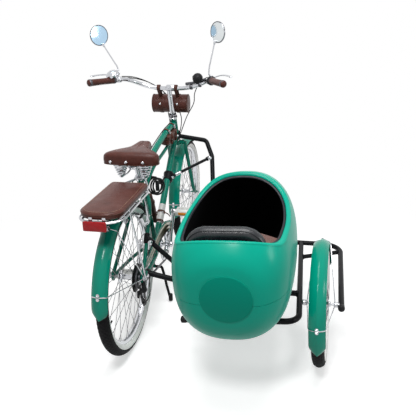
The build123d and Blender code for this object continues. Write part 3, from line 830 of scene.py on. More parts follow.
@dataclass(frozen=True)
class Paint:
    """Gloss enamel: even colour, faint flow in the clear coat and a few fine scuffs.

    Args:
        name: The material's name.
        colour: The paint's colour.
        roughness: How dull the colour coat is.
        coat: The weight of the clear coat.
        flow: The height of the coat's ripple, in metres.
        sheen: The colour coat's reflection, 0.5 for plain lacquer.
        film: The clear coat's roughness.
    """

    name: str
    colour: tuple
    roughness: float = 0.32
    coat: float = 0.35
    flow: float = 0.00006
    sheen: float = 0.3
    film: float = 0.06

    @lru_cache
    def material(self) -> bpy.types.Material:
        """The finish as a material."""
        s = Shader(self.name)
        drift = s.noise(2.3, 2.0)
        darker = tuple(c * 0.88 for c in self.colour)
        scuff = s.noise(260.0, 4.0, 0.7)
        return s.surface(
            Base_Color=s.between(drift, darker, self.colour),
            Roughness=scuff * 0.10 + (self.roughness - 0.05),
            Specular_IOR_Level=self.sheen,
            Coat_Weight=self.coat,
            Coat_Roughness=self.film,
            Normal=s.bump(s.noise(46.0, 2.0), self.flow),
        )


@dataclass(frozen=True)
class Powder:
    """Black powder coat: fine orange peel and a soft gloss.

    Args:
        name: The material's name.
        colour: Its colour.
    """

    name: str = "black_powder_coat"
    colour: tuple = (0.003, 0.0035, 0.0045)

    @lru_cache
    def material(self) -> bpy.types.Material:
        """The finish as a material."""
        s = Shader(self.name)
        peel = s.noise(900.0, 2.0)
        worn = s.noise(14.0, 4.0, 0.7)
        return s.surface(
            Base_Color=s.between(worn, self.colour, tuple(c * 1.9 for c in self.colour)),
            Roughness=worn * 0.16 + 0.26,
            Specular_IOR_Level=0.1,
            Normal=s.bump(peel, 0.00012),
        )


@dataclass(frozen=True)
class Metal:
    """Bare or plated metal.

    Args:
        name: The material's name.
        colour: Its reflected colour.
        roughness: Its mean roughness.
        brush: How many brush marks a metre cross it, 0 for polish.
    """

    name: str
    colour: tuple
    roughness: float
    brush: float = 0.0

    @lru_cache
    def material(self) -> bpy.types.Material:
        """The finish as a material."""
        s = Shader(self.name)
        haze = s.noise(35.0, 4.0, 0.65)
        fine = s.noise(self.brush or 420.0, 3.0, 0.7)
        return s.surface(
            Base_Color=s.between(haze, tuple(c * 0.84 for c in self.colour), self.colour),
            Metallic=1.0,
            Roughness=haze * 0.08 + fine * 0.05 + (self.roughness - 0.06),
            Normal=s.bump(fine, 0.00002),
        )


@dataclass(frozen=True)
class Leather:
    """Grained leather: small cells, broad creases, uneven dye and lighter worn patches.

    Args:
        name: The material's name.
        colour: The dye's colour.
        grain: How many cells a metre.
        gloss: The mean roughness.
        shine: The level of its reflection.
    """

    name: str
    colour: tuple
    grain: float = 820.0
    gloss: float = 0.38
    shine: float = 0.2

    @lru_cache
    def material(self) -> bpy.types.Material:
        """The finish as a material."""
        s = Shader(self.name)
        cell = s.cells(self.grain)
        crease = s.noise(55.0, 5.0, 0.6)
        dye = s.noise(17.0, 4.0, 0.62)
        dark = tuple(c * 0.62 for c in self.colour)
        pale = tuple(min(1.0, c * 1.28 + 0.012) for c in self.colour)
        tone = s.ramp(dye, (0.28, dark), (0.5, self.colour), (0.74, pale))
        return s.surface(
            Base_Color=s.between((1 - cell * 2.6) * 0.24, tone, dark),
            Roughness=crease * 0.22 + (self.gloss - 0.08),
            Specular_IOR_Level=self.shine,
            Normal=s.bump(cell * 0.6 + crease * 0.9, 0.0006, 0.55),
        )


@dataclass(frozen=True)
class Rubber:
    """Rubber or moulded plastic with a fine matt grain.

    Args:
        name: The material's name.
        colour: Its colour.
        roughness: The mean roughness.
        grain: How many grains a metre.
        shine: The level of its reflection.
    """

    name: str
    colour: tuple = (0.012, 0.012, 0.013)
    roughness: float = 0.6
    grain: float = 1400.0
    shine: float = 0.14

    @lru_cache
    def material(self) -> bpy.types.Material:
        """The finish as a material."""
        s = Shader(self.name)
        dust = s.noise(9.0, 5.0, 0.7)
        grain = s.noise(self.grain, 2.0)
        return s.surface(
            Base_Color=s.between(dust, self.colour, tuple(c * 1.7 + 0.004 for c in self.colour)),
            Roughness=dust * 0.15 + grain * 0.08 + (self.roughness - 0.1),
            Specular_IOR_Level=self.shine,
            Normal=s.bump(grain, 0.00015),
        )


@dataclass(frozen=True)
class Pile:
    """Short carpet pile: tufts as noise in colour and height.

    Args:
        name: The material's name.
        colour: The pile's middle colour.
    """

    name: str
    colour: tuple

    @lru_cache
    def material(self) -> bpy.types.Material:
        """The finish as a material."""
        s = Shader(self.name)
        tuft = s.noise(420.0, 4.0, 0.75)
        broad = s.noise(28.0, 3.0)
        dark = tuple(c * 0.35 for c in self.colour)
        pale = tuple(min(1.0, c * 1.7) for c in self.colour)
        return s.surface(
            Base_Color=s.ramp(tuft * 0.8 + broad * 0.2, (0.3, dark), (0.52, self.colour), (0.72, pale)),
            Roughness=0.95,
            Sheen_Weight=0.3,
            Normal=s.bump(tuft, 0.0025),
        )


@dataclass(frozen=True)
class Lens:
    """Moulded reflector plastic with small prisms behind a clear face; the prisms' crests are painted paler
    as a painted glint.

    Args:
        name: The material's name.
        colour: Its colour.
        prism: How many prisms a metre.
    """

    name: str
    colour: tuple
    prism: float = 330.0

    @lru_cache
    def material(self) -> bpy.types.Material:
        """The finish as a material."""
        s = Shader(self.name)
        x, _, z = s.axes()
        facets = (x * (self.prism * 2 * pi)).wave().size() + (z * (self.prism * 2 * pi)).wave().size()
        # The paler colour on the prism crests is a painted glint.
        pale = tuple(min(1.0, c * 1.7 + 0.004) for c in self.colour)
        return s.surface(
            Base_Color=s.between(facets * 0.5, self.colour, pale),
            Roughness=facets * 0.08 + 0.14,
            Specular_IOR_Level=0.2,
            Coat_Weight=0.15,
            Coat_Roughness=0.03,
            Normal=s.bump(facets, 0.0004, 0.5),
        )


@dataclass(frozen=True)
class Plain:
    """Smooth moulded or painted surface with slight unevenness.

    Args:
        name: The material's name.
        colour: Its colour.
        roughness: The mean roughness.
    """

    name: str
    colour: tuple
    roughness: float = 0.35

    @lru_cache
    def material(self) -> bpy.types.Material:
        """The finish as a material."""
        s = Shader(self.name)
        drift = s.noise(24.0, 4.0, 0.6)
        return s.surface(
            Base_Color=s.between(drift, tuple(c * 0.86 for c in self.colour), self.colour),
            Roughness=drift * 0.12 + (self.roughness - 0.06),
            Coat_Weight=0.25,
            Normal=s.bump(s.noise(300.0, 2.0), 0.00004),
        )


FRAME_PAINT = Paint("green_enamel", (0.0, 0.215, 0.145), 0.26, 0.16, sheen=0.06)
POD_GLOSS = Paint("pod_gelcoat", (0.0, 0.405, 0.285), 0.34, 0.24, 0.00003, 0.03, 0.24)
# The rear disc's paint is the pod's gelcoat made darker: painted shade on the flat rear face.
POD_SHADED_DISC = Paint("pod_disc_painted_shade", (0.0, 0.30, 0.21), 0.38, 0.10, 0.00003, 0.03, 0.25)
FENDER_PAINT = Paint("fender_enamel", (0.0, 0.30, 0.205), 0.24, 0.3, sheen=0.05, film=0.14)
BLACK = Powder()
CHROME = Metal("chrome", (0.62, 0.63, 0.66), 0.13)
STEEL = Metal("zinc_steel", (0.56, 0.57, 0.59), 0.34, 800.0)
DARK_CHROME = Metal("mirror_rim", (0.26, 0.27, 0.29), 0.16)
SPOKE_STEEL = Metal("spoke_steel", (0.22, 0.22, 0.23), 0.3)
DARK_STEEL = Metal("blued_steel", (0.10, 0.10, 0.11), 0.38, 700.0)
ALLOY = Metal("rim_alloy", (0.66, 0.67, 0.70), 0.2, 600.0)
# Both mirrors are one glass; the sky blue on the left and the pale bluish grey on the right are painted
# reflections.
SKY_REFLECTION_GLASS = Metal("mirror_glass_painted_sky", (0.50, 0.71, 0.90), 0.08)
PALE_REFLECTION_GLASS = Metal("mirror_glass_painted_pale_grey", (0.78, 0.82, 0.83), 0.08)
LEATHER = Leather("brown_leather", (0.082, 0.021, 0.014), gloss=0.34, shine=0.25)
STRAP = Leather("strap_leather", (0.080, 0.027, 0.018), 1000.0, 0.44)
VINYL = Leather("dark_vinyl", (0.008, 0.010, 0.014), 1100.0, 0.24, 0.5)
THREAD = Rubber("waxed_thread", (0.30, 0.20, 0.14), 0.7)
TREAD = Rubber("tyre_tread", (0.005, 0.005, 0.0055), 0.66, shine=0.08)
WHITEWALL = Rubber("white_sidewall", (0.93, 0.93, 0.91), 0.5, 900.0)
PLASTIC = Rubber("black_plastic", (0.010, 0.010, 0.011), 0.42)
# The pod liner's near-black is painted shade for the inside of the pod.
SHADE_LINER = Rubber("pod_liner_painted_shade", (0.0035, 0.0035, 0.004), 0.9, 500.0)
EDGING = Rubber("rubber_edging", (0.006, 0.008, 0.012), 0.4, shine=0.3)
CARPET = Pile("brown_carpet", (0.16, 0.062, 0.045))
RED_LENS = Lens("red_reflector", (0.30, 0.002, 0.005))
AMBER_LENS = Lens("amber_reflector", (0.72, 0.20, 0.01), 420.0)
WHITE = Plain("white_lacquer", (0.82, 0.82, 0.80))
CREAM = Plain("cream_stripe", (0.62, 0.56, 0.40))


def dress(bike: Bike, finish: object, *nodes: str) -> None:
    """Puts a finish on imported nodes.

    Args:
        bike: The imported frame.
        finish: The finish, which has a name, its nodes and its material.
        *nodes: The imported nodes.
    """
    for name in nodes:
        mesh = bike.nodes[name].data
        mesh.materials.clear()
        mesh.materials.append(finish.material())
        LOG.info("dressed %s in %s", name, finish.name)


def build(
    bike: Bike,
    name: str,
    shape: Shape,
    body: Body | None,
    finishes: object,
    replaces: tuple = (),
    slot: str | None = None,
    crease: float = 34.0,
    solid: bool = True,
) -> bpy.types.Object:
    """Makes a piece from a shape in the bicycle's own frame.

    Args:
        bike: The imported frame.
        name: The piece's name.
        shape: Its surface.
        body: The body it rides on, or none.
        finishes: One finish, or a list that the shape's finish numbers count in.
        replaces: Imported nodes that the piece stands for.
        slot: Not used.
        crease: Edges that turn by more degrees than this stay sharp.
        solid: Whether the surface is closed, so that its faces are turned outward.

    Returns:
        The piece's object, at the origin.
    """
    mesh = bpy.data.meshes.new(name)
    mesh.from_pydata(bike.at(shape.points).tolist(), [], shape.faces)
    mesh.polygons.foreach_set("material_index", np.array(shape.finish, np.int32))
    mesh.polygons.foreach_set("use_smooth", np.ones(len(mesh.polygons), bool))
    if solid:
        work = bmesh.new()
        work.from_mesh(mesh)
        bmesh.ops.remove_doubles(work, verts=work.verts, dist=1e-6)
        bmesh.ops.recalc_face_normals(work, faces=work.faces)
        work.to_mesh(mesh)
        work.free()
    mesh.set_sharp_from_angle(angle=radians(crease))
    for finish in finishes if isinstance(finishes, list) else [finishes]:
        mesh.materials.append(finish.material())
    piece = bpy.data.objects.new(name, mesh)
    bpy.context.scene.collection.objects.link(piece)
    if replaces:
        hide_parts(*replaces)
    if body:
        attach(piece, body.value)
    LOG.info("built %s on %s", name, body.value if body else "two bodies")
    return piece


# Wheels


@dataclass
class Wheel:
    """A spoked wheel with a white-wall tyre.

    Args:
        bike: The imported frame.
        name: The wheel's name, as its nodes begin.
        body: The body it turns with.
        centre: The hub's middle.
        frame: The wheel's forward, up and axle directions as rows.
        radius: The tyre's outer radius.
        hub_width: The hub's length.
        tyre_radius: The radius of the tyre's section.
        rim_seat: How far the rim's edge lies inside the tyre's outer radius.
        rim_width: The rim's width.
        spokes: How many spokes.
        flange: The radius of the hub's flanges.
        tread_blocks: How many blocks stand round the tread.
    """

    bike: Bike
    name: str
    body: Body
    centre: np.ndarray
    frame: np.ndarray
    radius: float
    hub_width: float
    tyre_radius: float = 0.027
    rim_seat: float = 0.049
    rim_width: float = 0.030
    spokes: int = 36
    flange: float = 0.026
    tread_blocks: int = 96

    def placed(self, shape: Shape) -> Shape:
        """A shape turned about Z laid on the wheel's axle."""
        return shape.turned_to(self.frame, self.centre)

    def tyre(self) -> Shape:
        """The tyre's skin.

        The section is a circle cut flat at the rim. Along it, blocks rise where a square wave of the angle
        round the wheel, shifted from row to row, is positive; the sidewall's middle carries the white band.
        """
        steps, rows = self.tread_blocks * 6, 56
        a = np.linspace(0, 2 * pi, steps, endpoint=False)
        cut = radians(154)
        t = np.linspace(-cut, cut, rows)
        round_wheel = a[:, None] * self.tread_blocks
        across = np.degrees(t)[None, :]
        row = np.floor((across + 90.0) / 20.0)
        wave = np.sin(round_wheel + row * pi) + 0.15
        tread = np.clip(wave * 4, -1, 1) * (np.abs(across) < 62)
        groove = (np.abs(((across + 90.0) % 20.0) - 10.0) > 8.6) & (np.abs(across) < 66)
        rise = np.where(groove, -0.0016, tread * 0.0009)
        wall = 0.0009 * np.exp(-(((np.abs(across) - 84) / 3.0) ** 2))
        section = self.tyre_radius - 0.0012 + rise + wall
        radial = (self.radius - self.tyre_radius) + section * np.cos(t)[None, :]
        side = section * np.sin(t)[None, :] * np.ones_like(round_wheel)
        points = np.stack((radial * np.cos(a)[:, None], radial * np.sin(a)[:, None], side), -1)
        skin = lattice(points, True, True)
        column = np.tile(np.arange(rows), steps)
        degrees_across = np.abs(across[0])[column % rows]
        white = (degrees_across > 92) & (degrees_across < 138)
        skin.finish = white.astype(int).tolist()
        return skin

    def rim(self) -> Shape:
        """The rim: a double-walled section with rolled edges, turned round the axle."""
        outer = self.radius - self.rim_seat
        half = self.rim_width / 2
        section = [(outer + 0.006, -half), (outer + 0.007, -half + 0.002), (outer + 0.001, -half + 0.004)]
        section += [(outer - 0.002, 0.0), (outer + 0.001, half - 0.004), (outer + 0.007, half - 0.002)]
        section += [(outer + 0.006, half), (outer - 0.004, half - 0.001), (outer - 0.011, half * 0.6)]
        section += [(outer - 0.014, 0.0), (outer - 0.011, -half * 0.6), (outer - 0.004, -half + 0.001)]
        return turned(section, 144, closed=True)

    def lacing(self) -> Shape:
        """The spokes and their nipples: every other one from each flange, leading or trailing by pairs."""
        inner = self.radius - self.rim_seat - 0.012
        half = self.hub_width / 2 - 0.008
        lines = []
        for i in range(self.spokes):
            side = 1 if i % 2 else -1
            a = 2 * pi * i / self.spokes
            lead = a + radians(38 if (i // 2) % 2 else -38)
            start = np.array((self.flange * 0.86 * cos(lead), self.flange * 0.86 * sin(lead), side * half))
            end = np.array((inner * cos(a), inner * sin(a), side * 0.003))
            lines.append(tube([start, end], 0.00115, 6, rounded=False))
            lines.append(tube([end - unit(end - start) * 0.012, end + unit(end - start) * 0.003], 0.0019, 6))
        return joined(lines)

    def hub(self) -> Shape:
        """The hub: a waisted barrel with two drilled-looking flanges and end cones."""
        half = self.hub_width / 2
        flange = half - 0.008
        profile = [(0.007, -half), (0.011, -half), (0.012, -half + 0.004), (0.016, -flange - 0.003)]
        profile += [(self.flange + 0.002, -flange - 0.0016), (self.flange + 0.002, -flange + 0.0016)]
        profile += [(0.016, -flange + 0.004), (0.0125, -flange + 0.012), (0.0115, 0.0)]
        profile += [(r, -h) for r, h in profile[::-1][1:]]
        return turned(profile, 48, closed=True)

    def valve(self) -> Shape:
        """The valve and its cap, through the rim toward the axle."""
        outer = self.radius - self.rim_seat
        a = radians(200)
        out = np.array((cos(a), sin(a), 0.0))
        stem = tube([out * (outer - 0.010), out * (outer - 0.040)], 0.0026, 10)
        cap = tube([out * (outer - 0.038), out * (outer - 0.048)], 0.0036, 10)
        return stem + cap.painted(1)

    def make(self) -> None:
        """Builds the wheel's pieces."""
        tyre = build(self.bike, self.name + "_tyre_skin", self.placed(self.tyre()), self.body,
                     [TREAD, WHITEWALL], (self.name + "_tyre",), "tyre", crease=60)
        tyre.data.update()
        build(self.bike, self.name + "_rim", self.placed(self.rim()), self.body, ALLOY,
              (self.name + "_wheel",), "chrome")
        build(self.bike, self.name + "_spokes", self.placed(self.lacing()), self.body,
              SPOKE_STEEL, (), "chrome")
        build(self.bike, self.name + "_hub", self.placed(self.hub()), self.body, CHROME, (), "chrome")
        build(self.bike, self.name + "_valve", self.placed(self.valve()), self.body, [STEEL, PLASTIC])


@dataclass
class Fender:
    """A fender with a centre ridge, rolled edges, wire stays and bolts.

    Args:
        bike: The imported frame.
        name: The node it stands for.
        body: The body it rides on.
        centre: The wheel's middle.
        frame: The wheel's forward, up and axle directions as rows.
        radius: The tyre's outer radius.
        start: Where the strip starts, in degrees from the top toward the rear.
        sweep: How far it runs, in degrees.
        stays: The angles of the wire stays.
        spread: How far out the stays' feet stand.
        gap: The space between tyre and strip.
        arc: The radius of the strip's section.
        half_width: Half the strip's width.
        wall: Its thickness.
    """

    bike: Bike
    name: str
    body: Body
    centre: np.ndarray
    frame: np.ndarray
    radius: float
    start: float
    sweep: float
    stays: tuple
    spread: float
    gap: float = 0.010
    arc: float = 0.036
    half_width: float = 0.030
    wall: float = 0.0018

    def point(self, angle: object, out: object, side: object) -> np.ndarray:
        """A place by the angle from the top toward the rear, the distance from the axle and the side.

        Args:
            angle: From the top toward the rear, in radians.
            out: The distance from the axle.
            side: How far along the axle.

        Returns:
            The place, or one row for each angle.
        """
        a = np.radians(angle)
        out = np.asarray(out, float)
        x = np.broadcast_to(side, np.broadcast(a, out, side).shape)
        local = np.stack((-out * np.sin(a) * np.ones_like(x), out * np.cos(a) * np.ones_like(x), x), -1)
        return self.centre + local @ self.frame

    def strip(self) -> Shape:
        """The strip: an arc across with a middle ridge and a bead at each edge, carried round the wheel."""
        edge = np.arcsin(self.half_width / self.arc)
        t = np.linspace(-edge, edge, 41)
        ridge = 0.0011 * np.exp(-((t / 0.16) ** 2)) + 0.0012 * np.exp(-(((np.abs(t) - edge) / 0.05) ** 2))
        base = self.radius + self.gap - self.arc
        outer = self.arc + self.wall + ridge
        inner = self.arc + ridge * 0.8
        across = np.concatenate((outer * np.sin(t), (inner * np.sin(t))[::-1]))
        out = np.concatenate((base + outer * np.cos(t), (base + inner * np.cos(t))[::-1]))
        tip = np.degrees(0.042 / self.radius)
        ease = tip * (1 - np.cos(np.linspace(0, pi / 2, 24)))
        angles = self.start + np.concatenate((ease, np.linspace(tip, self.sweep - tip, 110)[1:-1],
                                              self.sweep - ease[::-1]))
        reach = np.minimum(np.minimum(angles - angles[0], angles[-1] - angles) / tip, 1.0)
        narrow = 0.03 + 0.97 * (1 - (1 - reach) ** 2.2) ** (1 / 2.2)
        side = across[None] * narrow[:, None]
        return capped(self.point(angles[:, None], out[None], side))

    def wires(self) -> Shape:
        """The stays: wires from the axle's ends to the strip's edges, bent round to its crown."""
        parts = []
        top = self.radius + self.gap + self.wall
        for angle in self.stays:
            for side in (-1, 1):
                axle = self.frame[2] * side
                foot = self.centre + axle * self.spread
                edge = self.point(angle, top - 0.018, side * (self.half_width + 0.003))
                shoulder = self.point(angle, top - 0.006, side * (self.half_width - 0.006))
                crown = self.point(angle, top + 0.0022, side * 0.004)
                run = np.linspace(foot, edge, 8)
                bend = smooth_path([edge, (edge + shoulder) / 2 + axle * 0.002, shoulder, crown], 16)
                parts.append(tube(np.vstack((run, bend[1:])), 0.0021, 8))
                parts.append(tube([foot - axle * 0.003, foot + axle * 0.004], 0.0065, 16))
        return joined(parts)

    def crown_bolts(self) -> Shape:
        """A pair of bolts on the crown at each stay."""
        top = self.radius + self.gap + self.wall + 0.002
        parts = []
        for angle in self.stays:
            out = unit(self.point(angle, 1.0, 0.0) - self.centre)
            for step in (-1.3, 1.3):
                place = self.point(angle + step, top, 0.0)
                parts.append(bolt_at(0.0048, 0.0042, out, place))
        return joined(parts)

    def make(self) -> None:
        """Builds the fender's pieces."""
        build(self.bike, self.name + "_shell", self.strip(), self.body, FENDER_PAINT,
              (self.name,), "green_paint")
        build(self.bike, self.name + "_stays", self.wires(), self.body, CHROME, (), "chrome")
        build(self.bike, self.name + "_bolts", self.crown_bolts(), self.body, CHROME, (), "chrome")


# Seat and luggage


YZX = np.array(((0.0, 1.0, 0.0), (0.0, 0.0, 1.0), (1.0, 0.0, 0.0)))


@dataclass
class Saddle:
    """A broad sprung leather saddle with rivets along its rear skirt and two conical springs.

    Args:
        bike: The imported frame.
        top: The height of its crown.
        nose: The Y of its tip.
        tail: The Y of its rear.
        side: (x, y) of its right edge, nose to tail.
        rivets: The X of the rivets in the rear skirt.
        spring: X, Y, foot and head of the coil springs.
    """

    bike: Bike
    top: float = 0.859
    nose: float = 0.386
    tail: float = 0.116
    side: tuple = ((0.026, 0.372), (0.036, 0.320), (0.056, 0.250), (0.104, 0.190),
                   (0.124, 0.150), (0.098, 0.122))
    rivets: tuple = (-0.084, -0.014, 0.060)
    spring: tuple = (0.055, 0.165, 0.744, 0.802)

    def outline(self) -> np.ndarray:
        """The closed edge in X and Y."""
        left = [(-x, y) for x, y in self.side[::-1]]
        return closed_path([(0.0, self.nose), *self.side, (0.0, self.tail), *left], 12)

    def skirt_foot(self, y: np.ndarray) -> np.ndarray:
        """The height of the skirt's lower edge, deep at the tail and shallow toward the nose."""
        return np.interp(y, (self.tail, 0.150, 0.215, 0.300, self.nose), (0.805, 0.806, 0.822, 0.830, 0.833))

    def cover(self) -> Shape:
        """The leather: rings from the spine outward, falling by a superellipse, then the skirt."""
        edge = self.outline()
        spine = np.column_stack((np.zeros(len(edge)), np.clip(edge[:, 1], 0.165, 0.352)))
        dip = 0.005 * np.exp(-(((edge[:, 1] - 0.265) / 0.05) ** 2))
        droop = 0.012 * np.clip((edge[:, 1] - 0.335) / 0.05, 0, 1) ** 2
        foot = self.skirt_foot(edge[:, 1])
        fall = 0.030
        rings = []
        for share in (0.04, 0.2, 0.36, 0.5, 0.62, 0.72, 0.8, 0.87, 0.92, 0.955, 0.98, 0.995, 1.0):
            height = self.top - fall * (1 - (1 - share**4.5) ** (1 / 2.6)) - (dip + droop) * (1 - 0.4 * share)
            rings.append(np.column_stack((spine + (edge - spine) * share, height)))
        brim = rings[-1][:, 2]
        for share, inset in ((0.35, -0.0006), (0.8, 0.0004), (1.0, 0.0022), (1.02, 0.0045), (0.7, 0.006)):
            rings.append(np.column_stack((inset_outline(edge, inset), brim + (foot - brim) * share)))
        return capped(np.array(rings))

    def piping(self) -> Shape:
        """The rolled edge of the skirt."""
        edge = self.outline()
        path = np.column_stack((inset_outline(edge, 0.002), self.skirt_foot(edge[:, 1]) + 0.0006))
        return ring_tube(path, 0.0022, 8)

    def studs(self) -> Shape:
        """Rivets through the rear skirt."""
        edge = self.outline()
        rear = edge[edge[:, 1] < 0.150]
        rear = rear[np.argsort(rear[:, 0])]
        parts = []
        for x in self.rivets:
            y = np.interp(x, rear[:, 0], rear[:, 1])
            slope = (np.interp(x + 0.01, rear[:, 0], rear[:, 1]) - np.interp(x - 0.01,
                                                                             rear[:, 0], rear[:, 1])) / 0.02
            frame = square_frame((slope, -1.0, 0.0))
            parts.append(stud(0.0068, 0.0036).turned_to(frame, (x, y - 0.001, 0.8175)))
        return joined(parts)

    def springs(self) -> Shape:
        """Coil springs, the wires under the leather, the clamp on the post and the plate at the rear."""
        x, y, low, high = self.spring
        clamp = self.bike.seat_line(0.516)
        parts = []
        for side in (-1, 1):
            foot = np.array((side * x, y, low))
            parts.append(coil(foot, (side * x, y, high), 0.0120, 0.0330, 5.5, 0.0034))
            parts.append(tube([foot - (0, 0, 0.004), foot + (0, 0, 0.004)], 0.0095, 18))
            parts.append(tube([(side * x, y, high - 0.002), (side * x, y, high + 0.003)], 0.0330, 28))
            run = [foot, foot + (-side * 0.012, 0.03, -0.002), (side * 0.022, clamp[1], clamp[2])]
            run += [(side * 0.016, 0.290, 0.792), (side * 0.014, 0.350, 0.826)]
            parts.append(tube(smooth_path(run, 30), 0.0035, 8))
        parts.append(tube([(-0.032, clamp[1], clamp[2]), (0.032, clamp[1], clamp[2])], 0.0125, 24))
        parts.append(tube([(-0.040, clamp[1], clamp[2]), (0.040, clamp[1], clamp[2])], 0.0062, 12))
        parts.append(tube([(-0.085, y - 0.01, high + 0.004), (0.085, y - 0.01, high + 0.004)], 0.004, 10))
        return joined(parts)

    def make(self) -> None:
        """Builds the saddle's pieces."""
        seat = build(self.bike, "saddle_cover", self.cover(), Body.FRAME, LEATHER, ("saddle",), "leather", 70)
        build(self.bike, "saddle_piping", self.piping(), Body.FRAME, STRAP, (), "leather")
        build(self.bike, "saddle_rivets", self.studs(), Body.FRAME, CHROME, (), "chrome")
        build(self.bike, "saddle_coils", self.springs(), Body.FRAME, CHROME, ("saddle_springs",), "chrome")


@dataclass
class Carrier:
    """The rear rack's leather pad, outer wire and reflector.

    Args:
        bike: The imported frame.
        half: Half the pad's width.
        rear: The Y of the pad's rear.
        front: The Y of its front.
        low: The height of its underside.
        thickness: How thick it is.
    """

    bike: Bike
    half: float = 0.084
    rear: float = -0.272
    front: float = 0.112
    low: float = 0.706
    thickness: float = 0.028

    def pad(self) -> None:
        """The stuffed pad, its seam piping and its stitching."""
        outline = rounded_box(2 * self.half, self.front - self.rear, 0.022, 0.066)
        middle = np.array((0.0, (self.front + self.rear) / 2, self.low + self.thickness / 2))
        shape = pillow(outline, self.thickness, 0.011, 0.007).moved(middle)
        pad = build(self.bike, "carrier_pad", shape, Body.FRAME, LEATHER, ("rack_pad",), "leather", 80)
        seam = np.column_stack((inset_outline(outline, 0.001), np.full(len(outline), 0.006))) + middle
        build(self.bike, "carrier_seam", ring_tube(seam, 0.0020, 8), Body.FRAME, STRAP, (), "leather")
        line = np.column_stack((inset_outline(outline, 0.0125), np.full(len(outline), 0.0152))) + middle
        build(self.bike, "carrier_stitching", stitches(np.vstack((line, line[:1])), 0.005, 0.0025, 0.0006),
              Body.FRAME, THREAD)

    def wire(self) -> None:
        """The chrome wire that runs round the pad just under its edge, and its two stays."""
        outline = rounded_box(2 * self.half + 0.008, self.front - self.rear + 0.006, 0.030, 0.070)
        middle = np.array((0.0, (self.front + self.rear) / 2 - 0.003, self.low - 0.006))
        loop = ring_tube(np.column_stack((outline, np.zeros(len(outline)))) + middle, 0.0042, 10)
        ties = []
        for y in (-0.200, -0.050, 0.070):
            ends = [(-self.half, y, self.low - 0.006), (self.half, y, self.low - 0.006)]
            ties.append(tube(ends, 0.0032, 8))
        build(self.bike, "carrier_wire", joined([loop, *ties]), Body.FRAME, CHROME, (), "chrome")

    def reflector(self) -> None:
        """The red reflector, its dark housing and its chrome bracket."""
        low, high = self.bike.box("rear_reflector")
        middle = (low + high) / 2 - (0.007, 0.0, 0.001)
        size = high - low + (0.014, 0.0, 0.006)
        frame = np.array(((1.0, 0.0, 0.0), (0.0, 0.0, 1.0), (0.0, -1.0, 0.0)))
        face = slab(rounded_box(size[0], size[2], 0.004, 0.004, 6), 0.005, 0.001)
        face = face.turned_to(frame, (middle[0], low[1] + 0.0025, middle[2]))
        build(self.bike, "reflector_lens", face, Body.FRAME, RED_LENS, ("rear_reflector",), "reflector")
        back = slab(rounded_box(size[0] - 0.004, size[2] - 0.004, 0.004, 0.004, 6), 0.007, 0.001)
        back = back.turned_to(frame, (middle[0], low[1] + 0.0085, middle[2]))
        build(self.bike, "reflector_housing", back, Body.FRAME, PLASTIC, (), "plastic")
        parts = []
        for x in (-0.026, 0.026):
            ear = slab(rounded_box(0.014, 0.026, 0.003, 0.003, 5), 0.0022, 0.0006)
            parts.append(ear.turned_to(frame, (x, low[1] + 0.0135, high[2] + 0.002)))
        build(self.bike, "reflector_bracket", joined(parts), Body.FRAME, CHROME, (), "chrome")

    def make(self) -> None:
        """Builds the carrier's pieces."""
        self.pad()
        self.wire()
        self.reflector()


